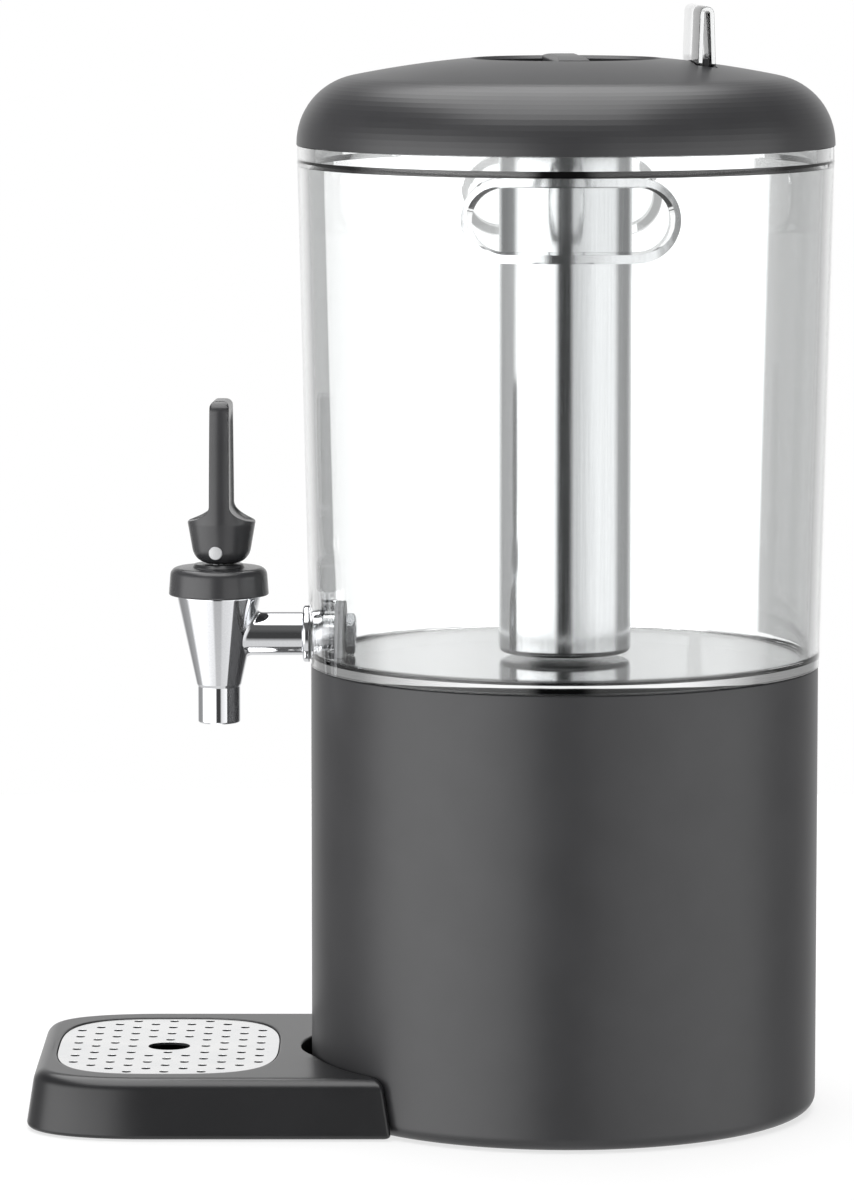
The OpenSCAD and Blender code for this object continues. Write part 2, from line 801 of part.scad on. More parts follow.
module tap_flange() {
    edge = tap_flange_t / 3;
    color("#c9cbce")
        on_tap()
            translate([shank_l, 0, tap_z])
                rotate([0, 90, 0])
                    rotate_extrude()
                        polygon([[tail_r + running_gap, 0], [tap_flange_r - edge, 0], [tap_flange_r, edge],
                            [tap_flange_r, tap_flange_t], [tail_r + running_gap, tap_flange_t]]);
}

module outer_washer() {
    color("#e8e8e8", 0.7)
        on_tap()
            translate([0, 0, tap_z])
                difference() {
                    along_x(shank_l + tap_flange_t, tap_reach - boss_out, tap_flange_r - outer_washer_t);
                    along_x(shank_l, tap_reach, tail_r + running_gap);
                }
}

module inner_washer() {
    washer_r = boss_r - spigot_gap;
    color("#e8e8e8", 0.7)
        on_axis()
            difference() {
                union() {
                    translate([0, 0, tap_z])
                        along_x(-boss_in, inner_washer_t - boss_in, washer_r);
                    translate([-boss_in, -washer_r, floor_z + seat_gap])
                        cube([inner_washer_t, 2 * washer_r, tap_z - floor_z - seat_gap]);
                }
                translate([0, 0, tap_z])
                    along_x(-boss_in - over, inner_washer_t - boss_in + over, tail_r + running_gap);
                translate([-boss_in - over, -boss_r, floor_z + seat_gap - boss_r])
                    cube([inner_washer_t + 2 * over, 2 * boss_r, boss_r]);
            }
}

module tap_nut() {
    across_corners = nut_w / cos(30);
    color("#b9bcc0")
        on_axis()
            translate([inner_washer_t - boss_in, 0, tap_z])
                rotate([0, 90, 0])
                    difference() {
                        cylinder(h = nut_t, r = across_corners / 2, $fn = 6);
                        translate([0, 0, -over])
                            cylinder(h = nut_t + 2 * over, r = tail_r + running_gap);
                    }
}

module tap_bonnet() {
    draft = bonnet_edge_r / 4;
    cap_wall = [[stem_r + running_gap, bonnet_top_t], [collar_r + spigot_gap, bonnet_top_t],
        [collar_r + spigot_gap, bonnet_h], [bonnet_r, bonnet_h]];
    outside = concat(
        [for (p = cap_wall) [p[0], bonnet_h - p[1]]],
        arc([bonnet_r - draft - bonnet_edge_r, bonnet_h - bonnet_edge_r], bonnet_edge_r, 0, 90),
        [[pad_r + draft, bonnet_h], [pad_r, bonnet_h + pad_h], [stem_r + running_gap, bonnet_h + pad_h]]);
    color("#3c3c3e")
        on_tap()
            translate([0, 0, bonnet_z])
                rotate_extrude()
                    polygon(outside);
}

module bonnet_seal() {
    seal_h = bonnet_in_z - cone_z - collar_h;
    seal_in = collar_r - 2 * (spout_r - spout_bore_r);
    color("#e8e8e8")
        on_tap()
            translate([0, 0, cone_z + collar_h])
                difference() {
                    cylinder(h = seal_h, r = collar_r - running_gap);
                    translate([0, 0, -over])
                        cylinder(h = seal_h + 2 * over, r = seal_in);
                }
}

module valve_stem() {
    grip_z = cup_z + cup_h / 3;
    color("#c9cbce")
        on_tap()
            difference() {
                union() {
                    translate([0, 0, grip_z])
                        cylinder(h = pin_z - grip_z, r = stem_r);
                    translate([0, 0, pin_z])
                        rotate([90, 0, -lever_turn])
                            translate([0, 0, -eye_t / 2])
                                cylinder(h = eye_t, r = eye_r);
                }
                translate([0, 0, pin_z])
                    rotate([90, 0, -lever_turn])
                        translate([0, 0, -eye_t])
                            cylinder(h = 2 * eye_t, r = pin_r + running_gap);
            }
}

module seat_cup() {
    bead = cup_r - stem_r;
    color("#e8e8e8")
        on_tap()
            translate([0, 0, cup_z])
                difference() {
                    rotate_extrude()
                        polygon([[0, 0], [spout_bore_r - bead / 2, 0], [cup_r + seat_h / 3, seat_h],
                            [cup_r + seat_h / 3, seat_h + bead / 2], [cup_r, seat_h + bead],
                            [cup_r, cup_h - bead / 2], [cup_r - bead / 2, cup_h], [0, cup_h]]);
                    translate([0, 0, cup_h / 3])
                        cylinder(h = cup_h, r = stem_r + running_gap);
                }
}

// The spring is one round wire along a helix, with a ring of wire_sides points at each step
module valve_spring() {
    wire_sides = 6;
    turn_steps = 14;
    steps = spring_turns * turn_steps;
    rise = spring_top_z - spring_low_z - 2 * spring_wire_r;
    points = [for (i = [0:steps], j = [0:wire_sides - 1])
        let (a = 360 * i / turn_steps, b = 360 * j / wire_sides,
            r = spring_r + spring_wire_r * cos(b),
            z = spring_low_z + spring_wire_r + rise * i / steps + spring_wire_r * sin(b))
        [r * cos(a), r * sin(a), z]];
    low_end = [[for (j = [0:wire_sides - 1]) j]];
    high_end = [[for (j = [wire_sides - 1:-1:0]) steps * wire_sides + j]];
    sides = [for (i = [0:steps - 1], j = [0:wire_sides - 1], half = [0, 1])
        let (p = i * wire_sides + j, q = i * wire_sides + (j + 1) % wire_sides)
        half == 0 ? [p, p + wire_sides, q] : [q, p + wire_sides, q + wire_sides]];
    color("silver")
        on_tap()
            polyhedron(points = points, faces = concat(low_end, high_end, sides));
}

// Lever

// The lever's side view, as a solid that is wider than the lever
module lever_side() {
    foot_half = lever_foot_t / 2;
    shoulder_half = shoulder_t / 2;
    curve_w = shoulder_half - lever_t / 2;
    roll = [foot_half - lever_roll_r, lever_roll_r - lever_drop];
    tip_r = lever_tip_t / 3;
    right = concat(
        arc(roll, lever_roll_r, -90, 0),
        [[shoulder_half, shoulder_h]],
        [for (i = [1:arc_steps]) let (a = shoulder_slope + (90 - shoulder_slope) * i / arc_steps)
            [shoulder_half - curve_w * (sin(a) - sin(shoulder_slope)) / (1 - sin(shoulder_slope)),
                shoulder_h + shoulder_curve_h * (1 - cos(a) / cos(shoulder_slope))]],
        [[lever_t / 2, (lever_h + shoulder_h) / 2]],
        arc([lever_tip_t / 2 - tip_r, lever_h - tip_r], tip_r, 0, 90));
    left = [for (i = [len(right) - 1:-1:0]) [-right[i][0], right[i][1]]];
    translate([lever_shift, lever_w, 0])
        rotate([90, 0, 0])
            linear_extrude(2 * lever_w)
                polygon(concat(right, left));
}

// The lever's front view, as a solid that is thicker than the lever
module lever_front() {
    foot = lever_w / 2;
    tip = lever_tip_w / 2;
    tip_r = lever_tip_w / 3;
    outline = concat(
        [[-foot, -lever_drop - over], [foot, -lever_drop - over], [foot, shoulder_h + shoulder_curve_h]],
        arc([tip - tip_r, lever_h - tip_r], tip_r, 0, 90),
        arc([tip_r - tip, lever_h - tip_r], tip_r, 90, 180),
        [[-foot, shoulder_h + shoulder_curve_h]]);
    rotate([90, 0, 90])
        translate([0, 0, -shoulder_t])
            linear_extrude(2 * shoulder_t)
                polygon(outline);
}

// An upright bar with rounded upright edges
module rounded_post(length, width, height) {
    half_l = length / 2 - lever_edge_r;
    half_w = width / 2 - lever_edge_r;
    linear_extrude(height)
        polygon(concat(
            arc([half_l, half_w], lever_edge_r, 0, 90), arc([-half_l, half_w], lever_edge_r, 90, 180),
            arc([-half_l, -half_w], lever_edge_r, 180, 270), arc([half_l, -half_w], lever_edge_r, 270, 360)));
}

module lever() {
    slot_w = eye_t + 2 * seat_gap;
    slot_l = 2 * (eye_r + seat_gap);
    color("#3c3c3e")
        on_lever()
            difference() {
                intersection() {
                    lever_side();
                    lever_front();
                    union() {
                        translate([lever_shift, 0, -lever_drop - over])
                            rounded_post(shoulder_t, lever_w, lever_drop + over + shoulder_h + shoulder_curve_h);
                        translate([lever_shift, 0, -lever_drop])
                            rounded_post(lever_t, lever_w, lever_h + lever_drop + over);
                    }
                }
                translate([0, slot_w / 2, 0])
                    rotate([90, 0, 0])
                        cylinder(h = slot_w, r = slot_l / 2);
                translate([0, 0, -lever_drop / 2 - over])
                    cube([2 * foot_room(), slot_w, lever_drop + 2 * over], center = true);
                translate([0, lever_w, 0])
                    rotate([90, 0, 0])
                        cylinder(h = 2 * lever_w, r = pin_r + running_gap);
            }
}

// Half the length of the slot in the lever's foot, which clears the stem while the lever tilts
function foot_room() = stem_r + lever_drop;

module lever_pin() {
    color("#c9cbce")
        on_lever()
            translate([0, lever_w / 2, 0])
                rotate([90, 0, 0])
                    cylinder(h = lever_w, r = pin_r);
}

// Drip tray

// Outline of the tray's body, drawn in by an inset; it runs on behind the base's surface
function tray_outline(inset) =
    let (corner = tray_corner_r - inset, side = tray_w / 2 - inset, front = inset - tray_reach)
    concat(
        [[-base_r / 2, side]],
        arc([front + corner, side - corner], corner, 90, 180, corner_steps),
        arc([front + corner, corner - side], corner, 180, 270, corner_steps),
        [[-base_r / 2, -side]]);

module tray_level(inset, z) {
    translate([0, 0, z])
        linear_extrude(running_gap)
            polygon(tray_outline(inset));
}

// The tray's outside, level by level: foot, leaning side and rounded rim
module tray_outside() {
    hull() {
        tray_level(tray_edge_r / 3, foot_drop);
        tray_level(0, foot_drop + tray_edge_r / 3);
        for (a = [0:15:90])
            tray_level(tray_lean + tray_edge_r * (1 - cos(a)), tray_h - running_gap - tray_edge_r * (1 - sin(a)));
    }
}

// The room inside the tray's walls, open below
module tray_inside() {
    hull() {
        tray_level(tray_wall, foot_drop - over);
        tray_level(tray_wall + tray_lean, tray_h - tray_edge_r);
        tray_level(tray_lean + tray_edge_r, tray_h - tray_wall);
    }
}

module drip_tray() {
    clear_r = base_r + tray_gap;
    basin_z = plate_z - basin_depth;
    color("#3c3c3e")
        on_axis() {
            difference() {
                tray_outside();
                difference() {
                    tray_inside();
                    translate([0, 0, -over])
                        cylinder(h = tray_h + over, r = clear_r + tray_wall);
                    notch_block(tray_wall);
                    basin_block(tray_wall, basin_z - tray_wall);
                    translate([0, 0, foot_drop])
                        at_tray_feet()
                            cylinder(h = tray_h - foot_drop, r = tray_foot_r + tray_wall);
                }
                translate([0, 0, -over])
                    cylinder(h = tray_h + 2 * over, r = clear_r);
                notch_block(0);
                basin_block(0, basin_z);
                translate([-plate_reach, 0, plate_z])
                    linear_extrude(tray_h)
                        polygon(bowed_outline(plate_l / 2 + spigot_gap, plate_w / 2 + spigot_gap, plate_power));
                translate([0, 0, foot_drop - over])
                    at_tray_feet()
                        cylinder(h = over + tray_foot_t - foot_drop, r = tray_foot_r + running_gap);
            }
            tray_hooks();
        }
}

// The rounded notch beside the base, wider by a border: an arc through its tip and its two ends
module notch_block(border) {
    end_x = sqrt(pow(base_r, 2) - pow(notch_w / 2, 2));
    rise = base_r + notch_d - end_x;
    bow_r = (pow(notch_w / 2, 2) + pow(rise, 2)) / (2 * rise);
    translate([bow_r - base_r - notch_d, 0, -over])
        cylinder(h = tray_h + 2 * over, r = bow_r + border);
}

// The basin under the plate, wider by a border
module basin_block(border, low) {
    half_l = plate_l / 2 - plate_ledge_w + border;
    half_w = plate_w / 2 - plate_ledge_w + border;
    translate([-plate_reach, 0, low])
        linear_extrude(tray_h + over - low)
            polygon(bowed_outline(half_l, half_w, plate_power));
}

// The two hooks that enter the base
module tray_hooks() {
    for (side = [-1, 1])
        translate([hook_tip() - hook_l(), side * hook_y - hook_w / 2, hook_z])
            cube([hook_l(), hook_w, hook_t]);
}

// Place of the hooks' tips, and the hooks' length from inside the tray's wall
function hook_tip() = hook_reach - sqrt(base_r * base_r - hook_y * hook_y);
function hook_l() = hook_reach + tray_gap + 2 * tray_wall + base_wall;

// The tray's four feet, in its corners
module at_tray_feet() {
    foot_x = [tray_reach - tray_corner_r, base_r + tray_wall];
    foot_y = tray_w / 2 - tray_lean - tray_wall - 2 * tray_foot_r;
    for (x = foot_x, side = [-1, 1])
        translate([-x, side * foot_y, 0])
            children();
}

module tray_feet() {
    color("#1d1d1d")
        on_axis()
            at_tray_feet()
                cylinder(h = tray_foot_t, r = tray_foot_r);
}

// True where a hole at this place leaves enough metal at the plate's edge
function hole_fits(x, y) =
    pow(abs(x) / (plate_l / 2 - hole_r - hole_margin), plate_power)
    + pow(abs(y) / (plate_w / 2 - hole_r - hole_margin), plate_power) < 1;

// True where a hole stays clear of the finger hole
function clear_of_finger(x, y) = norm([x, y]) > finger_hole_r + hole_r + hole_margin / 2;

module drip_plate() {
    columns = floor(plate_l / 2 / hole_pitch_x);
    rows = floor(plate_w / 2 / hole_pitch_y);
    color("#dcdde0")
        on_axis()
            translate([-plate_reach, 0, plate_z])
                linear_extrude(plate_t)
                    difference() {
                        polygon(bowed_outline(plate_l / 2, plate_w / 2, plate_power));
                        circle(r = finger_hole_r);
                        for (i = [-columns:columns], j = [-rows:rows])
                            if ((i + j) % 2 == 0)
                                if (hole_fits(i * hole_pitch_x, j * hole_pitch_y))
                                    if (clear_of_finger(i * hole_pitch_x, j * hole_pitch_y))
                                        translate([i * hole_pitch_x, j * hole_pitch_y])
                                            circle(r = hole_r, $fn = hole_sides);
                    }
}

base_shell();
base_cover();
base_feet();
cover_screws();
container();
tap_body();
tap_flange();
outer_washer();
inner_washer();
tap_nut();
tap_bonnet();
bonnet_seal();
valve_stem();
seat_cup();
valve_spring();
lever();
lever_pin();
lid();
lid_seal();
ice_tube();
tube_cap();
cap_seal();
label_holder();
drip_tray();
tray_feet();
drip_plate();
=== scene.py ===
# %% [markdown]
# # A juice dispenser, dressed for its portrait
#
# The object is a drink dispenser for a buffet: a clear container with a steel ice tube in it stands
# on a round charcoal base, under a domed lid. A lever tap leaves it at the front, over a drip tray.
# Every solid was built as CAD first, so its size and place are settled. Blender's work is what the
# eye meets: finer surfaces where the real piece is soft-edged, true materials, and light.

import math

import bpy
import numpy as np
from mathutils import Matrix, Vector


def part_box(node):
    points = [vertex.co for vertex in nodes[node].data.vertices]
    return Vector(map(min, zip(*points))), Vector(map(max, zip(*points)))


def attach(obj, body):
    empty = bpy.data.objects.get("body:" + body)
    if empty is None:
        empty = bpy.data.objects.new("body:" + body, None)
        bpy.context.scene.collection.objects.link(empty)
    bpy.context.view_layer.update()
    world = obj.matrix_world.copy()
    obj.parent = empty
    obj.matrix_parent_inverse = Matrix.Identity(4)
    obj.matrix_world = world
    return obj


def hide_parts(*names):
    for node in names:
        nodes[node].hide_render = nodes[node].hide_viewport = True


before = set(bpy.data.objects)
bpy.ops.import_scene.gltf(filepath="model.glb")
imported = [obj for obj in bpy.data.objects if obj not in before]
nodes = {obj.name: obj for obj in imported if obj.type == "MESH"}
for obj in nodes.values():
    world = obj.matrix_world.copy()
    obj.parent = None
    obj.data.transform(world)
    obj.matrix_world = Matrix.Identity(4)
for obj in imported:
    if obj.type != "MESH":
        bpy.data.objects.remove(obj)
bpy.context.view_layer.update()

# %% [markdown]
# ## The camera
#
# The picture was taken from 2.75 m away with a long lens, from a little above the lid. The pitch
# and the focal length were fitted to the ellipses of the base, the lid and the container's floor.
# The sensor's 36 mm lie along the picture's long side, so the lens is given for that side.

# %% Place the camera
PICTURE_HEIGHT_PX = 1200
FOCAL_PX = 6379
SENSOR_MM = 36
CAMERA_PLACE = (-0.00165, -2.7491, 0.5446)
CAMERA_PITCH = math.radians(83.31)

camera = bpy.data.objects.new("camera", bpy.data.cameras.new("camera"))
bpy.context.scene.collection.objects.link(camera)
camera.data.sensor_width = SENSOR_MM
camera.data.lens = FOCAL_PX / PICTURE_HEIGHT_PX * SENSOR_MM
camera.data.clip_start, camera.data.clip_end = 0.1, 100
camera.location = CAMERA_PLACE
camera.rotation_euler = (CAMERA_PITCH, 0, 0)
bpy.context.scene.camera = camera
print("lens", round(camera.data.lens, 1), "mm")

# %% [markdown]
# ## Colours and nodes
#
# Colours are picked as sRGB hex values, which are what a screen shows, but a shader works on linear
# light. One function turns one into the other. Another adds one shader node with its settings and
# its links, so that a material reads as a list of what it is made of.

# %% Helpers for colours and nodes
def linear(hex_colour):
    """The linear-light colour, with alpha 1, of an sRGB colour written as '#rrggbb'."""
    share = np.array([int(hex_colour[i:i + 2], 16) for i in (1, 3, 5)]) / 255
    low, high = share / 12.92, ((share + 0.055) / 1.055) ** 2.4
    return (*np.where(share <= 0.04045, low, high).tolist(), 1.0)


def add(tree, kind, settings=None, **inputs):
    """Adds a node. A setting is an attribute; an input is a value, or the socket that feeds it.

    Inputs go by name with _ for a space, or by number as i0, i1. Stops fill a colour ramp's band.
    """
    node = tree.nodes.new("ShaderNode" + kind)
    for name, value in (settings or {}).items():
        setattr(node, name, value)
    stops = inputs.pop("stops", [])
    for place, colour in stops[2:]:
        node.color_ramp.elements.new(place)
    for element, (place, colour) in zip(node.color_ramp.elements if stops else [], stops):
        element.position, element.color = place, colour
    for name, value in inputs.items():
        key = int(name[1:]) if name[1:].isdigit() else name.replace("_", " ")
        if isinstance(value, bpy.types.NodeSocket):
            tree.links.new(value, node.inputs[key])
        else:
            node.inputs[key].default_value = value
    return node

# %% [markdown]
# ## The studio
#
# The real picture was taken in a tent of white cloth. Its reflections say what stood where: a bright
# wall on the left, a softer one on the right, a dark slit between them for the camera, grey gaps at
# the sides, a white sheet behind and a large soft light overhead. The world repeats that as a
# function of direction alone. What the camera sees directly is plain white. What it sees through the
# clear container is the white sheet too, which ends a little way out on both sides.

# %% Measure the tent
def grey(value):
    """A neutral linear colour."""
    return (value, value, value, 1)


# Brightness round the horizon, by degrees clockwise from +Y: 90 is +X, 180 the camera, 270 is -X
WALLS = [(0, 1.0), (15, 1.0), (35, 0.5), (46, 0.32), (74, 0.36), (88, 1.35), (122, 1.4), (166, 0.9),
         (173, 0.06), (192, 0.06), (199, 1.8), (238, 2.4), (268, 2.1), (284, 0.36), (322, 0.32),
         (342, 1.0), (360, 1.0)]
# How much of a wall is left at a height: z is the sine of the elevation
WALL_TOP = [(0.16, grey(1.0)), (0.36, grey(0.36)), (0.5, grey(0.0))]
ROOM = 0.13
TABLE, TABLE_FROM, TABLE_TO = 0.75, -0.3, -0.6
TOP_LIGHT = 3.0
BRIGHTEST = 2.5
FULL_TURN = 360
# The white sheet behind the object, from side to side in degrees, and the grey cloth beside it
SHEET_LEFT, SHEET_RIGHT, SHEET_EDGE, SHEET_END, WALL_START = -9.0, 6.4, 0.25, 70, 84
SHEET_WHITE, SHEET_GREY = 1.35, 0.55
# The top light's edges on a level plane at height 1: where each one starts, and where it is full
PANEL_SIDE, PANEL_NEAR, PANEL_FAR = (0.7, 0.4), (-0.85, -0.55), (1.15, 1.05)
PANEL_SHIFT, LOWEST = 0.1, 0.02

# %% Put up the walls
world = bpy.data.worlds.new("tent")
bpy.context.scene.world = world
world.use_nodes = True
tree = world.node_tree
tree.nodes.clear()
direction = add(tree, "TexCoord").outputs["Generated"]
x, y, z = add(tree, "SeparateXYZ", Vector=direction).outputs
angle = add(tree, "Math", {"operation": "ARCTAN2"}, i0=x, i1=y).outputs[0]
turn = add(tree, "Math", {"operation": "DIVIDE"}, i0=angle, i1=2 * math.pi).outputs[0]
turn = add(tree, "Math", {"operation": "FRACT"}, i0=turn).outputs[0]
walls = add(tree, "ValToRGB", Fac=turn,
            stops=[(a / FULL_TURN, grey(b / BRIGHTEST)) for a, b in WALLS]).outputs["Color"]
walls = add(tree, "Math", {"operation": "MULTIPLY"}, i0=walls, i1=BRIGHTEST).outputs[0]
degrees = add(tree, "Math", {"operation": "DEGREES"}, i0=angle).outputs[0]
left = add(tree, "MapRange", Value=degrees, From_Min=SHEET_LEFT, From_Max=SHEET_LEFT + SHEET_EDGE)
right = add(tree, "MapRange", Value=degrees, From_Min=SHEET_RIGHT,
            From_Max=SHEET_RIGHT - SHEET_EDGE)
white = add(tree, "Math", {"operation": "MULTIPLY"}, i0=left.outputs[0], i1=right.outputs[0])
away = add(tree, "Math", {"operation": "ABSOLUTE"}, i0=degrees).outputs[0]
beyond = add(tree, "MapRange", Value=away, From_Min=SHEET_END, From_Max=WALL_START).outputs[0]
sheet = add(tree, "Mix", {"data_type": "FLOAT"}, Factor=white.outputs[0], A=SHEET_GREY,
            B=SHEET_WHITE).outputs["Result"]
sheet = add(tree, "Mix", {"data_type": "FLOAT"}, Factor=beyond, A=sheet, B=1.0).outputs["Result"]
fall = add(tree, "ValToRGB", Fac=z, stops=WALL_TOP).outputs["Color"]
table = add(tree, "MapRange", Value=z, From_Min=TABLE_FROM, From_Max=TABLE_TO).outputs[0]
walls = add(tree, "Mix", {"data_type": "FLOAT"}, Factor=table, A=walls, B=TABLE).outputs["Result"]
low = add(tree, "Mix", {"data_type": "FLOAT"}, Factor=fall, A=ROOM, B=walls).outputs["Result"]

# %% Hang the top light
# A soft rectangle on a level plane above: aside runs along X and fore along Y
height = add(tree, "Math", {"operation": "MAXIMUM"}, i0=z, i1=LOWEST).outputs[0]
aside = add(tree, "Math", {"operation": "MULTIPLY_ADD"}, i0=height, i1=PANEL_SHIFT, i2=x).outputs[0]
aside = add(tree, "Math", {"operation": "DIVIDE"}, i0=aside, i1=height).outputs[0]
aside = add(tree, "Math", {"operation": "ABSOLUTE"}, i0=aside).outputs[0]
fore = add(tree, "Math", {"operation": "DIVIDE"}, i0=y, i1=height).outputs[0]
soft = {"interpolation_type": "SMOOTHSTEP"}
panel = 1.0
for place, (start, full) in [(aside, PANEL_SIDE), (fore, PANEL_NEAR), (fore, PANEL_FAR)]:
    share = add(tree, "MapRange", soft, Value=place, From_Min=start, From_Max=full).outputs[0]
    panel = add(tree, "Math", {"operation": "MULTIPLY"}, i0=panel, i1=share).outputs[0]
light = add(tree, "Math", {"operation": "MULTIPLY_ADD"}, i0=panel, i1=TOP_LIGHT, i2=low).outputs[0]

# %% Choose what each ray sees
rays = add(tree, "LightPath").outputs
# Light that only went through clear plastic sees the sheet; what a surface mirrored sees the tent
through = add(tree, "Math", {"operation": "SUBTRACT", "use_clamp": True},
              i0=rays["Is Transmission Ray"], i1=rays["Glossy Depth"]).outputs[0]
shown = add(tree, "Mix", {"data_type": "FLOAT"}, Factor=through, A=light, B=sheet)
shown = add(tree, "Mix", {"data_type": "FLOAT"}, Factor=rays["Is Camera Ray"],
            A=shown.outputs["Result"], B=1.0)
background = add(tree, "Background", Color=shown.outputs["Result"], Strength=1.0)
add(tree, "OutputWorld", Surface=background.outputs[0])
bpy.context.scene.view_settings.view_transform = "Standard"
print("the tent has", len(tree.nodes), "nodes")

# %% [markdown]
# ## The floor
#
# A round white table top. A diffuse surface alone would look grey beside the white background, so
# what the camera sees of it is part glow and part real shading. The shading keeps the shadow.

# %% Lay the floor
FLOOR_R = 0.95
FLOOR_SIDES = 128
FLOOR_COLOUR = "#e4e4e4"
SHADED, GLOW = 0.3, 0.72

rim_angles = np.arange(FLOOR_SIDES) * 2 * np.pi / FLOOR_SIDES
rim = np.stack([FLOOR_R * np.cos(rim_angles), FLOOR_R * np.sin(rim_angles), 0 * rim_angles], 1)
floor_mesh = bpy.data.meshes.new("floor")
floor_mesh.from_pydata(rim.tolist(), [], [list(range(FLOOR_SIDES))])
floor = bpy.data.objects.new("floor", floor_mesh)
bpy.context.scene.collection.objects.link(floor)
paint = bpy.data.materials.new("white_table")
paint.use_nodes = True
tree = paint.node_tree
tree.nodes.clear()
real = add(tree, "BsdfDiffuse", Color=linear(FLOOR_COLOUR)).outputs[0]
shaded = add(tree, "BsdfDiffuse", Color=grey(SHADED)).outputs[0]
glow = add(tree, "Emission", Color=grey(1), Strength=GLOW).outputs[0]
seen = add(tree, "AddShader", i0=shaded, i1=glow).outputs[0]
rays = add(tree, "LightPath").outputs
straight = add(tree, "Math", {"operation": "MAXIMUM"},
               i0=rays["Is Camera Ray"], i1=rays["Is Transmission Ray"])
mixed = add(tree, "MixShader", i0=straight.outputs[0], i1=real, i2=seen)
open_floor = add(tree, "BsdfTransparent").outputs[0]
mixed = add(tree, "MixShader", i0=rays["Is Glossy Ray"], i1=mixed.outputs[0], i2=open_floor)
add(tree, "OutputMaterial", Surface=mixed.outputs[0])
floor_mesh.materials.append(paint)

# %% [markdown]
# ## Plastics
#
# The housings are ABS, moulded in a mould that spark erosion left finely matt. The eye meets that as
# a soft satin sheen with a faint grain, and no true mirror anywhere. The grain is drawn at 0.5 mm,
# which is coarser than the real one, so that it shows in a close view.

# %% Finish plastics
MM = 0.001


def new_material(name):
    """An empty node material; returns it, its tree and its object coordinates."""
    made = bpy.data.materials.new(name)
    made.use_nodes = True
    made.node_tree.nodes.clear()
    return made, made.node_tree, add(made.node_tree, "TexCoord").outputs["Object"]


def moulded(name, dark, pale, rough, grain_mm=0.5, grain_depth_mm=0.012, drift_mm=25, ior=1.6):
    """Matt moulded plastic: a grain in height, and a slow drift of colour between two tones."""
    made, tree, place = new_material(name)
    grain = add(tree, "TexNoise", Vector=place, Scale=1 / (grain_mm * MM), Detail=2.0).outputs["Fac"]
    drift = add(tree, "TexNoise", Vector=place, Scale=1 / (drift_mm * MM), Detail=3.0).outputs["Fac"]
    tone = add(tree, "ValToRGB", Fac=drift, stops=[(0.35, linear(dark)), (0.65, linear(pale))])
    relief = add(tree, "Bump", Height=grain, Strength=0.5, Distance=grain_depth_mm * MM)
    skin = add(tree, "BsdfPrincipled", Base_Color=tone.outputs[0], Roughness=rough, IOR=ior,
               Normal=relief.outputs[0])
    add(tree, "OutputMaterial", Surface=skin.outputs[0])
    return made


materials = {
    "charcoal_housing": moulded("abs_spark_eroded_charcoal", "#303032", "#343436", 0.38),
    "charcoal_lid": moulded("abs_spark_eroded_charcoal_lid", "#303032", "#343436", 0.36),
    "charcoal_tray": moulded("abs_spark_eroded_charcoal_tray", "#1f1f21", "#232325", 0.30),
    "black_cover": moulded("polypropylene_moulded_black", "#262628", "#2b2b2d", 0.5),
    "black_rubber": moulded("rubber_moulded_black", "#1a1a1a", "#202020", 0.7, 0.8, 0.02),
    "black_tap_plastic": moulded("acetal_moulded_charcoal", "#38383a", "#3e3e40", 0.26, 0.4, 0.006),
}

# %% [markdown]
# ## Clear pieces
#
# The container is SAN, a hard clear plastic, injection moulded and polished by its mould: clear as
# glass, with an index of refraction of 1.57 and hardly any tint. The label holder is a bent sheet of
# acrylic. Silicone is cloudy and soft: light goes in, scatters and comes out white.

# %% Finish clear pieces
def clear(name, tint, rough, ior, drift_mm=25):
    """Clear moulded plastic, whose gloss drifts slightly, as the polish of its mould does."""
    made, tree, place = new_material(name)
    drift = add(tree, "TexNoise", Vector=place, Scale=1 / (drift_mm * MM), Detail=2.0).outputs["Fac"]
    gloss = add(tree, "MapRange", Value=drift, From_Min=0.3, From_Max=0.7, To_Min=0.0, To_Max=rough)
    skin = add(tree, "BsdfPrincipled", Base_Color=linear(tint), Roughness=gloss.outputs[0], IOR=ior,
               Transmission_Weight=1.0)
    add(tree, "OutputMaterial", Surface=skin.outputs[0])
    return made


materials["clear_container"] = clear("san_injection_moulded_clear", "#fcfdfd", 0.004, 1.57)
materials["clear_holder"] = clear("acrylic_sheet_bent_clear", "#fafbfb", 0.01, 1.49)

CLOUD_MM = 5
made, tree, place = new_material("silicone_pressed_cloudy")
drift = add(tree, "TexNoise", Vector=place, Scale=1 / (CLOUD_MM * MM), Detail=3.0).outputs["Fac"]
tone = add(tree, "ValToRGB", Fac=drift, stops=[(0.3, linear("#dcdedf")), (0.7, linear("#e8eaea"))])
skin = add(tree, "BsdfPrincipled", Base_Color=tone.outputs[0], Roughness=0.35, IOR=1.41,
           Transmission_Weight=0.45)
add(tree, "OutputMaterial", Surface=skin.outputs[0])
materials["clear_silicone"] = made

# %% [markdown]
# ## Metals
#
# The tap is brass, chrome plated over a polish, so it mirrors the whole tent. The ice tube is drawn
# and polished steel with faint lines along its length. The drip plate is bright rolled steel. The
# small pieces are plain turned steel.

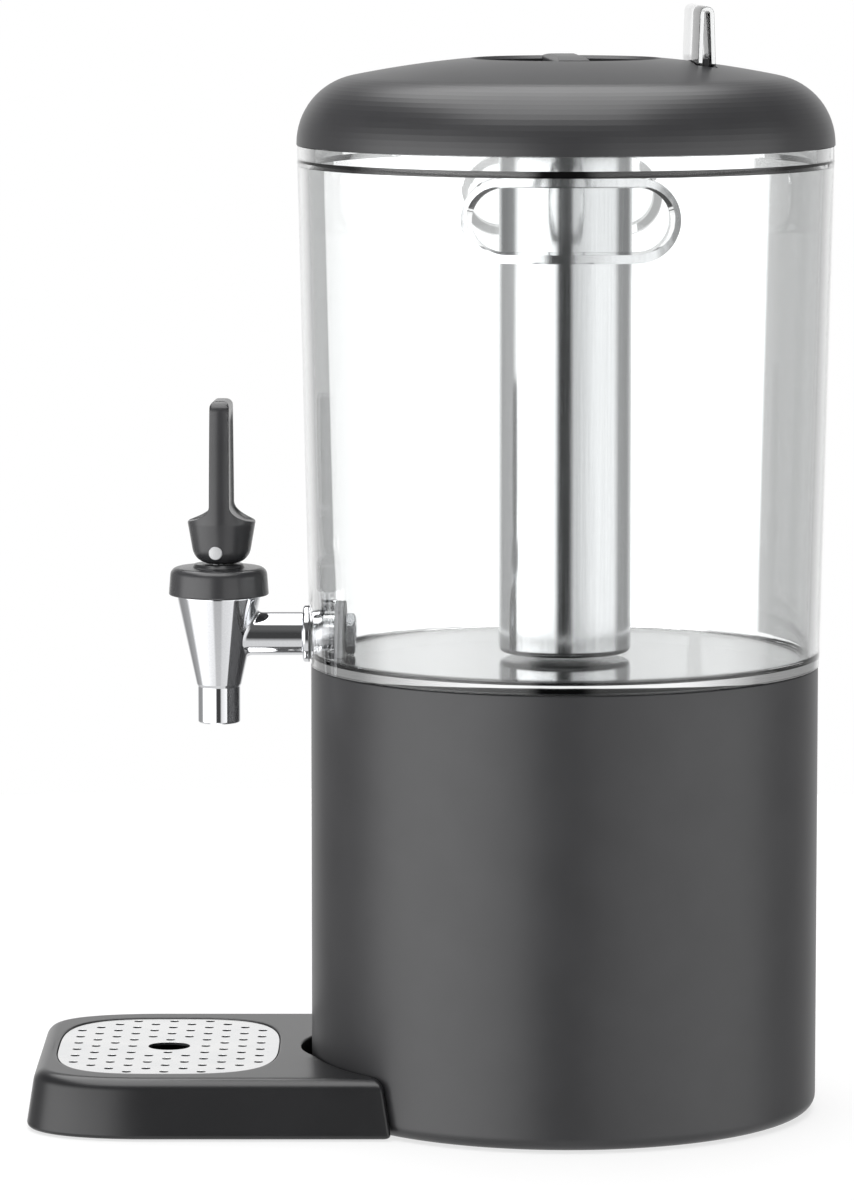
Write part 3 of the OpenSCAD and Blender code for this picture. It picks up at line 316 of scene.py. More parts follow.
# %% Finish metals
def metal(name, dark, pale, rough_low, rough_high, line_mm=(0.6, 0.6, 0.6), line_depth_mm=0.0):
    """Metal whose tone and roughness follow fine lines, with their own length on each axis."""
    made, tree, place = new_material(name)
    stretch = add(tree, "Mapping", Vector=place, Scale=[1 / (size * MM) for size in line_mm])
    lines = add(tree, "TexNoise", Vector=stretch.outputs[0], Scale=1.0, Detail=3.0).outputs["Fac"]
    tone = add(tree, "ValToRGB", Fac=lines, stops=[(0.3, linear(dark)), (0.7, linear(pale))])
    rough = add(tree, "MapRange", Value=lines, From_Min=0.3, From_Max=0.7, To_Min=rough_low,
                To_Max=rough_high)
    relief = add(tree, "Bump", Height=lines, Strength=0.3, Distance=line_depth_mm * MM)
    skin = add(tree, "BsdfPrincipled", Base_Color=tone.outputs[0], Metallic=1.0,
               Roughness=rough.outputs[0], Normal=relief.outputs[0])
    add(tree, "OutputMaterial", Surface=skin.outputs[0])
    return made


materials["chrome"] = metal("brass_chrome_plated", "#e6e7ea", "#eeeff1", 0.03, 0.07)
materials["polished_steel"] = metal("steel_drawn_polished", "#d9dadb", "#e2e3e4", 0.10, 0.16,
                                    (0.8, 0.8, 60), 0.002)
materials["bright_steel"] = metal("steel_rolled_bright", "#e4e5e6", "#eeeeef", 0.16, 0.24,
                                  (12, 0.5, 2), 0.003)
materials["nut_steel"] = metal("steel_turned_nut", "#b4b6b9", "#c4c6c8", 0.2, 0.3)
materials["stem_steel"] = metal("steel_turned_stem", "#c4c6c8", "#d2d3d5", 0.15, 0.25)
materials["spring_steel"] = metal("steel_wire_drawn", "#b0b2b5", "#c0c2c4", 0.2, 0.3)
materials["screw_steel"] = metal("steel_screw_zinc_plated", "#a8aaad", "#bcbec0", 0.25, 0.35)

# %% [markdown]
# ## Surfaces from numbers
#
# A machine makes most of these pieces by turning, bending or pressing, and the code does the same.
# An outline gets its corners rounded, because no real edge is perfectly sharp, and then it is turned
# about an axis or carried along a path. What comes out is a grid of points whose rows are closed
# rings. The last helper joins such grids into one mesh with its faces outwards.

# %% Round an outline and space its points
TINY = 1e-9


def rounded(corners, radii, steps=6):
    """A closed outline whose corners are arcs that touch both sides.

    With unit vectors u and v from a corner to its neighbours and half the angle h between them, the
    arc's middle lies radius / sin(h) along u + v, and its ends lie radius / tan(h) along u and v.
    """
    p = np.asarray(corners, float)
    radius = np.broadcast_to(np.asarray(radii, float), len(p))[:, None]
    u, v = np.roll(p, 1, 0) - p, np.roll(p, -1, 0) - p
    u, v = (w / np.linalg.norm(w, axis=1, keepdims=True) for w in (u, v))
    half = np.arccos(np.clip((u * v).sum(1, keepdims=True), -1, 1)) / 2
    to_middle = (u + v) / np.maximum(np.linalg.norm(u + v, axis=1, keepdims=True), TINY)
    middle = p + to_middle * radius / np.sin(half)
    start, end = (p + w * radius / np.tan(half) - middle for w in (u, v))
    k = np.linspace(0, 1, steps + 1)[None, :, None]
    turn = (np.pi - 2 * half)[:, :, None]
    swing = np.sin((1 - k) * turn) * start[:, None] + np.sin(k * turn) * end[:, None]
    return (middle[:, None] + swing / np.maximum(np.sin(turn), TINY)).reshape(-1, 2)


def loop(outline):
    """An outline that comes back to its first point."""
    return np.vstack([outline, outline[:1]])


def along(path, step):
    """A path's points again, an even step apart: added lengths, read back in between."""
    run = np.concatenate([[0], np.cumsum(np.linalg.norm(np.diff(path, axis=0), axis=1))])
    run, kept = np.unique(run, return_index=True)
    even = np.linspace(0, run[-1], int(run[-1] / step) + 1)
    return np.stack([np.interp(even, run, column) for column in path[kept].T], 1)


# %% Turn or draw an outline into a surface
def spin(profile, sides=128, axis="z"):
    """(radius, height) points turned about an axis: (r cos a, r sin a, h), with h along it."""
    r, h = np.asarray(profile, float).T
    a = np.linspace(0, 2 * np.pi, sides, endpoint=False)
    ring = np.stack([np.outer(r, np.cos(a)), np.outer(r, np.sin(a)), np.outer(h, 1 + 0 * a)], 2)
    return {"z": ring, "x": ring[:, :, [2, 0, 1]], "y": ring[:, :, [1, 2, 0]]}[axis]


def drawn(outline, places):
    """A closed outline in (Y, Z) drawn along X through some places, and closed at both ends."""
    middle = outline.mean(0)
    rings = [middle + 0 * outline] + [outline] * len(places) + [middle + 0 * outline]
    x = np.concatenate([places[:1], places, places[-1:]])[:, None] + np.zeros(len(outline))
    return np.dstack([x, np.array(rings)])


def solid(*skins):
    """Joins grids of rings into points and quads that face outwards.

    The tetrahedra from the origin to all faces add up to the volume, which is negative inside out.
    """
    points, faces, first = [], [], 0
    for skin in skins:
        rows, cols = skin.shape[:2]
        a, b = np.divmod(np.arange((rows - 1) * cols), cols)
        c = (b + 1) % cols
        quads = np.stack([a * cols + b, a * cols + c, (a + 1) * cols + c, (a + 1) * cols + b], 1)
        flat = skin.reshape(-1, 3)
        p, q, r, s = (flat[quads[:, k]] for k in range(4))
        volume = (p * (np.cross(q, r) + np.cross(r, s))).sum()
        points.append(flat)
        faces.append((quads if volume > 0 else quads[:, ::-1]) + first)
        first += len(flat)
    return np.concatenate(points), np.concatenate(faces)


# %% Make a piece of a surface
import bmesh

SHARP = 32
MERGE_MM = 0.001


def bare_mesh(name, points, faces):
    """A mesh from points in millimetres, with doubled points at seams and poles merged."""
    mesh = bpy.data.meshes.new(name)
    mesh.from_pydata((np.asarray(points) * MM).tolist(), [],
                     [list(map(int, face)) for face in faces])
    work = bmesh.new()
    work.from_mesh(mesh)
    bmesh.ops.remove_doubles(work, verts=work.verts, dist=MERGE_MM * MM)
    work.to_mesh(mesh)
    work.free()
    return mesh


def make_piece(name, points, faces, body, slot, *replaced, finish=None, sharp=SHARP):
    """A finished piece: a smooth mesh with its sharp edges kept, its material and its body."""
    mesh = bare_mesh(name, points, faces)
    mesh.shade_smooth()
    mesh.set_sharp_from_angle(angle=math.radians(sharp))
    mesh.materials.append(finish or materials[slot])
    piece = bpy.data.objects.new(name, mesh)
    bpy.context.scene.collection.objects.link(piece)
    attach(piece, body)
    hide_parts(*replaced)
    print(name, "has", len(mesh.vertices), "points and", len(mesh.polygons), "faces")
    return piece


# %% Cut a piece, and find where the CAD pieces stand
def cut(piece, *cutters, sharp=SHARP):
    """Cuts solids out of a piece, one after the other, and keeps the result as its mesh."""
    for points, faces in cutters:
        helper = bpy.data.objects.new("cutter", bare_mesh("cutter", points, faces))
        bpy.context.scene.collection.objects.link(helper)
        modifier = piece.modifiers.new("cut", "BOOLEAN")
        modifier.object, modifier.operation, modifier.solver = helper, "DIFFERENCE", "EXACT"
        bpy.context.view_layer.update()
        done = piece.evaluated_get(bpy.context.evaluated_depsgraph_get())
        piece.data = bpy.data.meshes.new_from_object(done)
        piece.modifiers.clear()
        bpy.data.objects.remove(helper)
    piece.data.shade_smooth()
    piece.data.set_sharp_from_angle(angle=math.radians(sharp))
    print(piece.name, "has", len(piece.data.vertices), "points after its cuts")


def middle_of(node):
    """The middle of a CAD node's box, in millimetres."""
    low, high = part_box(node)
    return np.array((low + high) / 2) / MM


AXIS = middle_of("ice_tube") * [1, 1, 0]
TAP = middle_of("tap_bonnet") * [1, 1, 0]
PIN = middle_of("lever_pin")
print("container axis", AXIS.round(2), "tap axis", TAP.round(2), "pin", PIN.round(2))

# %% [markdown]
# ## The lever
#
# A moulded acetal lever: a round foot under a broad upright handle, all one turned shape whose two
# sides are cut away. Seen from the front of the picture, the cut runs up round the foot's rolling
# edge, out to the shoulder, in a hollow curve up to the handle, and over its top. At each point of
# that outline the lever's level section is a disc that two flats cut off, with small round edges.
# The flats are dished, so that a finger finds its place.

# %% Draw the lever's outline
# Lengths in millimetres from the pin: the foot with its rolling edge, the shoulder, the handle
HALF_FOOT, FOOT_Z, ROLL_R = 12.9, -5.5, 7.5
SHOULDER_R, SHOULDER_Z, HORN_R, SLOPE = 14.8, 12.9, 0.8, math.radians(22)
HALF_HANDLE, CURVE_H, TOP_Z, TIP_R, TAPER = 4.4, 7.4, 65.5, 2.8, 0.2
FOOT_CORNER = HALF_FOOT - (SHOULDER_R - HALF_FOOT) * ROLL_R / (SHOULDER_Z - FOOT_Z - ROLL_R)
LEAN, CORNER_R, EDGE_R, LEVER_SHIFT, LEVER_TURN = 2.8, 4.5, 0.9, 1.3, math.radians(-3)
# The dish: its depth, its border and ramp, and how it fades out at the foot and under the top
DISH, DISH_BORDER, DISH_RAMP, DISH_FOOT_FADE, DISH_TOP_GAP, DISH_TOP_FADE = 0.9, 1.2, 3.0, 5, 4, 6
STEP = 0.4

a = np.linspace(SLOPE, np.pi / 2, 17)[1:]
reach = (SHOULDER_R - HALF_HANDLE) / (1 - np.sin(SLOPE))
hollow = np.stack([SHOULDER_R - reach * (np.sin(a) - np.sin(SLOPE)),
                   SHOULDER_Z + CURVE_H * (1 - np.cos(a) / np.cos(SLOPE))], 1)
side = np.vstack([[(0, FOOT_Z), (FOOT_CORNER, FOOT_Z), (SHOULDER_R, SHOULDER_Z)], hollow,
                  [(HALF_HANDLE - TAPER, TOP_Z), (0, TOP_Z)]])
radii = [0, ROLL_R, HORN_R] + [0] * len(hollow) + [TIP_R, 0]
side = along(rounded(side, radii, 10), STEP)
print("the lever's outline has", len(side), "points")

# %% Shape the lever's body
half, z = side.T
horn = np.argmax(half)
rise = np.clip((z - SHOULDER_Z) / (TOP_Z - SHOULDER_Z), 0, 1)
over = np.clip((z - TOP_Z + CORNER_R) / CORNER_R, 0, 1)
turned = half[horn] - LEAN * rise ** 2 - CORNER_R * (1 - np.sqrt(1 - over ** 2))
disc = np.where(np.arange(len(z)) < horn, half, np.maximum(turned, half))[:, None]
half = half[:, None]
edge = np.minimum(EDGE_R, half)
flat = np.sqrt(np.maximum((disc - edge) ** 2 - (half - edge) ** 2, 0))
swing = np.arctan2(flat, np.maximum(half - edge, TINY))

# Half a section, point by point: small edge, long arc of the disc, small edge, flat
k, arc = np.linspace(0, 1, 5), np.linspace(0, 1, 33)[1:-1]
across = np.sin(np.linspace(np.pi / 2, -np.pi / 2, 25))[1:-1]
big = swing + arc * (np.pi - 2 * swing)
x = np.hstack([half - edge + edge * np.cos(k * swing), disc * np.cos(big),
               edge - half - edge * np.cos((1 - k) * swing), -half + 0 * across])
y = np.hstack([flat + edge * np.sin(k * swing), disc * np.sin(big),
               flat + edge * np.sin((1 - k) * swing), flat * across])
tangent = np.gradient(side, axis=0)
outward = np.stack([tangent[:, 1], -tangent[:, 0]], 1) / np.linalg.norm(tangent, axis=1)[:, None]
run = np.arange(len(z)) * STEP
depth = (DISH * np.clip((run - run[horn]) / DISH_FOOT_FADE, 0, 1)
         * np.clip((TOP_Z - DISH_TOP_GAP - z) / DISH_TOP_FADE, 0, 1))
fall = np.clip((flat - np.abs(flat * across) - DISH_BORDER) / DISH_RAMP, 0, 1)
sunk = 0 * x
sunk[:, -len(across):] = depth[:, None] * fall ** 2 * (3 - 2 * fall)
x, z = x + sunk * outward[:, :1], z[:, None] - sunk * outward[:, 1:]
grid = np.concatenate([np.stack([x, y, z], 2), np.stack([-x, -y, z], 2)], 1)

# %% Place the lever and cut its slot
def on_lever(points, turn=LEVER_TURN):
    """From the lever's own place, with its pin at the origin, to the object's, by a turn about z."""
    c, s = math.cos(turn), math.sin(turn)
    return np.asarray(points) @ np.array([[c, s, 0], [-s, c, 0], [0, 0, 1]]) + PIN


lever = make_piece("tap_lever", *solid(on_lever(grid + [LEVER_SHIFT, 0, 0])), "lever",
                   "black_tap_plastic", "lever")

# The slot runs through the foot and out below it, and its roof is an arch
SLOT_HALF_W, SLOT_R, SLOT_HALF_L, SLOT_LOW_Z = 3.5, 5.3, 8.5, FOOT_Z - 2
arch = np.linspace(0, np.pi, 25)
slot = np.vstack([[(SLOT_HALF_L, 0), (SLOT_HALF_L, SLOT_LOW_Z),
                   (-SLOT_HALF_L, SLOT_LOW_Z), (-SLOT_HALF_L, 0)],
                  np.stack([-SLOT_R * np.cos(arch), SLOT_R * np.sin(arch)], 1)])
slot = drawn(slot, np.array([-SLOT_HALF_W, SLOT_HALF_W]))[:, :, [1, 0, 2]]
cut(lever, solid(on_lever(slot)))

# %% [markdown]
# ## The lever's pin
#
# A turned pin, pressed through the lever until its ends stand a hair proud of the foot. Its end
# faces are very low domes with a bright, slightly rough surface. It lies on the joint's own axis,
# which the stem's eye shares, so it is turned by the hinge's angle and not by the lever's. The
# specks are drawn at a third of a millimetre, coarser than the real ones, so that they show.

# %% Turn the pin
SPECK_MM = 1 / 3
made, tree, place = new_material("aluminium_pin_turned")
speck = add(tree, "TexNoise", Vector=place, Scale=1 / (SPECK_MM * MM), Detail=2.0).outputs["Fac"]
tone = add(tree, "ValToRGB", Fac=speck, stops=[(0.3, linear("#dcdddf")), (0.7, linear("#f0f0f1"))])
skin = add(tree, "BsdfPrincipled", Base_Color=tone.outputs[0], Metallic=1.0, Roughness=0.5)
add(tree, "OutputMaterial", Surface=skin.outputs[0])

PIN_R, DOME_H, PIN_EDGE, PIN_EDGE_L = 2.95, 0.15, 0.2, 0.25
PIN_PROUD, HINGE_TURN = 0.2, math.radians(-4.5)
half_pin = HALF_FOOT + PIN_PROUD
r = np.linspace(0, PIN_R - PIN_EDGE, 9)
dome = np.stack([r, half_pin - DOME_H * (r / PIN_R) ** 2], 1)
end = np.vstack([dome, [(PIN_R, half_pin - DOME_H - PIN_EDGE_L)]])
pin = spin(np.vstack([end * [1, -1], end[::-1]]), 64, "y")
make_piece("pin_turned", *solid(on_lever(pin, HINGE_TURN)), "lever", "stem_steel", "lever_pin",
           finish=made)

# %% [markdown]
# ## The tap body
#
# Cast brass: a hollow cone with a short spout below it and a shank that leaves it at the back. The
# cone and spout are turned. The shank is a tube whose first few millimetres flare out in a small
# fillet until they meet the cone, so each point of the fillet's edge is worked out on the cone:
# at a height z and a side step y, the cone of radius R stands at x = sqrt(R^2 - y^2).

# %% Turn the cone and the spout
SPOUT_Z, SPOUT_R, BORE_R, SEAT_Z, NECK_H, RIM_H = 168.7, 9.25, 7.2, 188.7, 1.2, 0.6
THROAT_R, THROAT_H = 9.2, 4
CONE_LOW_Z, CONE_TOP_Z, CONE_LOW_R, CONE_R = 185.7, 224.3, 9.8, 18.2
COLLAR_R, COLLAR_IN_R, COLLAR_TOP_Z = 17.4, 13.3, 231.3

profile = rounded([(BORE_R, SPOUT_Z), (SPOUT_R, SPOUT_Z), (SPOUT_R, CONE_LOW_Z - NECK_H),
                   (CONE_LOW_R, CONE_LOW_Z), (CONE_R, CONE_TOP_Z - RIM_H), (CONE_R, CONE_TOP_Z),
                   (COLLAR_R, CONE_TOP_Z),
                   (COLLAR_R, COLLAR_TOP_Z), (COLLAR_IN_R, COLLAR_TOP_Z), (COLLAR_IN_R, CONE_TOP_Z),
                   (THROAT_R, SEAT_Z + THROAT_H), (BORE_R, SEAT_Z)],
                  [0.5, 1.0, 0.6, 0.5, 0.4, 0.3, 0, 0.4, 0.3, 1, 1, 0.3])
cone = spin(loop(profile), 160)

# %% Join the shank to the cone
SHANK_Z, SHANK_R, SHANK_END, TAIL_R, TAIL_END, FILLET_R = 207.5, 9.4, 36.4, 6.0, 59.2, 2.2
SHANK_PLAIN_X, TAIL_BORE_R, TAIL_BORE_X, SINK, SHANK_START_X = 20.0, 4.0, 48.0, 0.3, 8


def cone_radius(height):
    """The cone's radius at a height."""
    return np.interp(height, [CONE_LOW_Z, CONE_TOP_Z], [CONE_LOW_R, CONE_R])


u = np.linspace(0, 2 * np.pi, 96, endpoint=False)[None, :]
t = np.linspace(1, 0, 12)[:, None] * np.pi / 2
edge_x = np.sqrt(cone_radius(SHANK_Z + SHANK_R * np.sin(u)) ** 2 - (SHANK_R * np.cos(u)) ** 2)
wide = SHANK_R + FILLET_R
foot_x = np.sqrt(cone_radius(SHANK_Z + wide * np.sin(u)) ** 2 - (wide * np.cos(u)) ** 2) - SINK
flare_x = foot_x + (edge_x + FILLET_R - foot_x) * (1 - np.sin(t))
flare_r = SHANK_R + FILLET_R * (1 - np.cos(t)) + 0 * u
plain = rounded([(SHANK_R, SHANK_PLAIN_X), (SHANK_R, SHANK_END), (TAIL_R, SHANK_END),
                 (TAIL_R, TAIL_END), (TAIL_BORE_R, TAIL_END), (TAIL_BORE_R, TAIL_BORE_X),
                 (0, TAIL_BORE_X)], [0, 0.3, 0, 0.8, 0.3, 0, 0])
shank_x = np.vstack([foot_x[:1] * 0 + SHANK_START_X, foot_x[:1] - 1, flare_x, plain[:, 1:] + 0 * u])
shank_r = np.vstack([0 * u, wide + 0 * u, flare_r, plain[:, :1] + 0 * u])
shank = np.stack([shank_x, shank_r * np.cos(u), SHANK_Z + shank_r * np.sin(u)], 2)
make_piece("tap_casting", *solid(cone + TAP, shank + TAP), "container", "chrome", "tap_body")

# %% Turn the flange and the bonnet
FLANGE_IN_R, FLANGE_R, FLANGE_T = 6.1, 12.4, 3.0
flange = rounded([(FLANGE_IN_R, 0), (FLANGE_R, 0), (FLANGE_R, FLANGE_T), (FLANGE_IN_R, FLANGE_T)],
                 [0, 1.3, 0.5, 0], 8)
flange = spin(loop(flange), 128, "x") + TAP + [SHANK_END, 0, SHANK_Z]
make_piece("tap_collar", *solid(flange), "container", "chrome", "tap_flange")

BONNET_IN_R, BONNET_LOW_R, BONNET_TOP_R, BONNET_LOW_Z, BONNET_Z = 17.9, 21.7, 20.8, 224.6, 236.6
PAD_LOW_R, PAD_R, PAD_Z, STEM_HOLE_R, ROOF_Z = 11.4, 10.5, 238.1, 3.06, 233.4
bonnet = rounded([(BONNET_IN_R, BONNET_LOW_Z), (BONNET_LOW_R, BONNET_LOW_Z),
                  (BONNET_TOP_R, BONNET_Z), (PAD_LOW_R, BONNET_Z), (PAD_R, PAD_Z), (STEM_HOLE_R, PAD_Z),
                  (STEM_HOLE_R, ROOF_Z), (BONNET_IN_R, ROOF_Z)],
                 [0.3, 0.7, 3.4, 0.5, 0.4, 0.2, 0, 0.5], 8)
make_piece("tap_bonnet_cap", *solid(spin(loop(bonnet), 160) + TAP), "container",
           "black_tap_plastic", "tap_bonnet")

# %% [markdown]
# ## The nut
#
# A hexagon nut is a six-sided bar, turned to a cone at both ends. At an angle a its side stands
# apothem / cos(a) from the middle, with a counted from the nearest flat, and near the ends the
# turned cone is the smaller of the two.

# %% Turn the nut
NUT_APOTHEM, NUT_T, NUT_SIDES = 7.85, 4.4, 120
u = np.linspace(0, 2 * np.pi, NUT_SIDES, endpoint=False)
hexagon = NUT_APOTHEM / np.cos((u + np.pi / 6) % (np.pi / 3) - np.pi / 6)
# The turned profile: a place along the nut, and the radius there
x, limit = np.array([(0, 6.06), (0, 7.6), (0.25, 8.05), (0.5, 8.5), (0.8, 9.2), (3.6, 9.2),
                     (3.9, 8.5), (4.15, 8.05), (NUT_T, 7.6), (NUT_T, 6.06), (0, 6.06)]).T
r = np.minimum(limit[:, None], hexagon[None, :])
nut = np.stack([x[:, None] + 0 * r, r * np.cos(u), r * np.sin(u)], 2)
nut_at = middle_of("tap_nut") - [NUT_T / 2, 0, 0]
make_piece("nut_hexagon", *solid(nut + nut_at), "container", "nut_steel", "tap_nut", sharp=20)

# %% [markdown]
# ## The drip tray
#
# A moulded tray whose walls lean in and roll over into a broad soft rim. Its outline is straight at
# the sides, round at the front corners, and hollow at the end, where it follows the base and has a
# rounded notch. The surface is that outline at one level after another: under the rim, up the wall,
# over the rim, across the deck, and down into the basin. Every level has the same number of points
# at matching places, so one grid holds them all.

# %% Draw the outlines of the tray and its recess
TRAY_HALF_W, TRAY_FRONT, TRAY_CORNER, TRAY_CORNER_L, SOFT = 84.0, 232.0, 35.0, 56.0, 0.86
TRAY_H, TRAY_LOW = 26.2, 0.8
END_R, NOTCH_R, NOTCH_X, HORN_END_R, TRAY_WALL, BLEND = 110.8, 49.8, 64.8, 1.6, 2.6, 3
PLATE_X, PLATE_HALF_L, PLATE_HALF_W, POWER, PLATE_Z, PLATE_T = -172.45, 47.95, 65.4, 3.2, 24.5, 1.2


def tray_ring(inset, end_inset):
    """The tray's outline drawn in by an inset, and by another at its hollow end, where it starts.

    The end is the base's circle or the notch's, whichever cuts deeper: a soft maximum of the two.
    """
    half_w, front = TRAY_HALF_W - inset, TRAY_FRONT - inset
    corner_r, long_r = TRAY_CORNER - inset, TRAY_CORNER_L - inset
    end_r = END_R + end_inset
    horn_y = half_w - HORN_END_R
    horn_x = -np.sqrt((end_r + HORN_END_R) ** 2 - horn_y ** 2)
    y = horn_y * end_r / (end_r + HORN_END_R) * np.linspace(0, 1, 56)
    notch = NOTCH_X + np.sqrt(np.maximum((NOTCH_R + end_inset) ** 2 - y ** 2, 0))
    circle = np.sqrt(end_r ** 2 - y ** 2)
    end = np.stack([-np.logaddexp(BLEND * circle, BLEND * notch) / BLEND, y], 1)
    start = np.arctan2(-horn_y, -horn_x)
    a = np.linspace(start, np.pi / 2, 12)[1:]
    horn = np.stack([horn_x + HORN_END_R * np.cos(a), horn_y + HORN_END_R * np.sin(a)], 1)
    along_side = np.linspace(horn_x, long_r - front, 14)[1:]
    long_side = np.stack([along_side, half_w + 0 * along_side], 1)
    a = np.linspace(np.pi / 2, np.pi, 40)[1:]
    bend = np.stack([long_r - front - long_r * np.abs(np.cos(a)) ** SOFT,
                     half_w - corner_r + corner_r * np.abs(np.sin(a)) ** SOFT], 1)
    down = np.linspace(half_w - corner_r, 0, 8)[1:]
    half = np.vstack([end, horn, long_side, bend, np.stack([-front + 0 * down, down], 1)])
    return np.vstack([half, half[-2:0:-1] * [1, -1]])


def bowed_ring(inset, angles):
    """The bowed outline of the plate's recess at some angles: (|cos/a|^p + |sin/b|^p)^(-1/p)."""
    half_l, half_w = PLATE_HALF_L - inset, PLATE_HALF_W - inset
    total = np.abs(np.cos(angles) / half_l) ** POWER + np.abs(np.sin(angles) / half_w) ** POWER
    r = total ** (-1 / POWER)
    return np.stack([PLATE_X + r * np.cos(angles), r * np.sin(angles)], 1)

# %% Stack the tray's outlines
# From the tray's outline inwards: how far the wall leans, and where the rim and the deck start
WALL_LEAN, RIM_INSET, DECK_INSET, DECK_END, END_EDGE = 4.0, 12.0, 9.2, 1.0, 1
# From the plate's outline inwards: the plate's ledge, the basin's foot and its floor. Outwards: the
# recess's own edge, and the start of the curve that rounds it
LEDGE_IN, BASIN_FOOT_IN, BASIN_FLOOR_IN, RECESS_OUT, BOWL_START = 4.0, 4.3, 40, 0.5, 2.5
# Heights: the basin's floor, that floor's lower face, and the deck's lower face
BASIN_Z, UNDER_Z, UNDER_DECK_Z = 8.0, 5.4, 23.6
wall = rounded([(TRAY_WALL, TRAY_LOW), (0.0, TRAY_LOW), (WALL_LEAN, TRAY_H), (RIM_INSET, TRAY_H)],
               [0, 2.0, 6.0, 0], 12)
drop = wall[:, 1] - TRAY_H + END_EDGE
end_in = np.where(wall[:, 1] > TRAY_H - END_EDGE, 1 - np.sqrt(np.clip(1 - drop ** 2, 0, 1)), 0)
end_in[:1] = TRAY_WALL
outside = [np.column_stack([tray_ring(i, e), 0 * tray_ring(i, e)[:, 0] + z])
           for (i, z), e in zip(wall[:-13], end_in)]
deck = tray_ring(DECK_INSET, DECK_END)
angles = np.arctan2(deck[:, 1], deck[:, 0] - PLATE_X)
bowl = rounded([(-BOWL_START, TRAY_H), (-RECESS_OUT, TRAY_H), (-RECESS_OUT, PLATE_Z),
                (LEDGE_IN, PLATE_Z), (BASIN_FOOT_IN, BASIN_Z), (BASIN_FLOOR_IN, BASIN_Z)],
               [0, 0.7, 0.3, 0.5, 3.0, 0], 8)[8:-8]
inside = [np.column_stack([bowed_ring(i, angles), 0 * angles + z]) for i, z in bowl]
floor_middle = np.array([PLATE_X, 0])
inside.append(np.column_stack([floor_middle + 0 * deck, 0 * angles + BASIN_Z]))
# The hidden side: inset, inset at the end, and height, up the wall and then under the basin
under = [(3.4, 2.6, 12.0), (5.2, 2.6, 20.0), (8.6, 4.0, UNDER_DECK_Z)]
hidden = [np.column_stack([tray_ring(i, e), 0 * angles + z]) for i, e, z in under]
hidden += [np.column_stack([bowed_ring(i, angles), 0 * angles + z])
           for i, z in [(1.4, UNDER_DECK_Z), (1.6, UNDER_Z)]]
hidden.append(np.column_stack([floor_middle + 0 * deck, 0 * angles + UNDER_Z]))
tray = np.array(hidden[::-1] + outside + [np.column_stack([deck, 0 * angles + TRAY_H])] + inside)

# %% Add the tray's hooks and the bosses of its feet
HOOK_X, HOOK_L, HOOK_Y, HOOK_W, HOOK_Z, HOOK_T = -93.47, 18.0, 40, 14, 8, 4
hooks = [drawn(rounded([(y - HOOK_W / 2, HOOK_Z), (y + HOOK_W / 2, HOOK_Z),
                        (y + HOOK_W / 2, HOOK_Z + HOOK_T), (y - HOOK_W / 2, HOOK_Z + HOOK_T)], 0.8),
               np.array([HOOK_X - HOOK_L, HOOK_X])) for y in (-HOOK_Y, HOOK_Y)]
FOOT_HOLE_R, BOSS_R, BOSS_MIDDLE_R, BOSS_TOP_Z, FOOT_HOLE_Z = 5.1, 7.6, 0.1, 23.9, 2.5
FEET_X, FEET_Y = (-200, -112.6), (-68.4, 68.4)
boss = loop(rounded([(FOOT_HOLE_R, TRAY_LOW), (BOSS_R, TRAY_LOW), (BOSS_R, BOSS_TOP_Z),
                     (BOSS_MIDDLE_R, BOSS_TOP_Z), (BOSS_MIDDLE_R, FOOT_HOLE_Z),
                     (FOOT_HOLE_R, FOOT_HOLE_Z)], 0.1))
bosses = [spin(boss, 32) + [x, y, 0] for x in FEET_X for y in FEET_Y]
make_piece("tray_moulding", *solid(*[skin + AXIS for skin in [tray] + hooks + bosses]), "drip_tray",
           "charcoal_tray", "drip_tray", sharp=40)

# %% [markdown]
# ## The drip plate
#
# A sheet of steel, blanked to a bowed outline and pierced in staggered rows. Piercing pulls the top
# edge of each hole round and smooth. The flat between the holes is filled with triangles by
# Blender's own constrained triangulation, and every hole is a short funnel whose points are worked
# out for all holes at once.

# %% Lay out the plate's holes
PITCH_X, PITCH_Y, HOLE_R, FINGER_R, MARGIN = 8.0, 7.4, 1.95, 9.1, 2.6
HOLE_SIDES, FINGER_SIDES, EDGE_SIDES, EASE = 20, 96, 128, 0.15
i, j = np.meshgrid(np.arange(-5, 6), np.arange(-8, 9), indexing="ij")
x, y = i * PITCH_X, j * PITCH_Y
clear_edge = ((np.abs(x) / (PLATE_HALF_L - HOLE_R - MARGIN)) ** POWER
              + (np.abs(y) / (PLATE_HALF_W - HOLE_R - MARGIN)) ** POWER) < 1
clear_finger = np.hypot(x, y) > FINGER_R + HOLE_R + MARGIN / 2
chosen = ((i + j) % 2 == 0) & clear_edge & clear_finger
holes = np.stack([x[chosen], y[chosen]], 1) + [PLATE_X, 0]
print("the plate has", len(holes), "small holes")

# %% Finish the pierced steel
# A hole's wall turns rough, and dark with painted shade, from the first depth under the top face; it is
# bright from the second depth under it
CLOUDS_MM, DULL_SHADED_BELOW, BRIGHT_ABOVE = 50 / 3, 0.12, 0.02


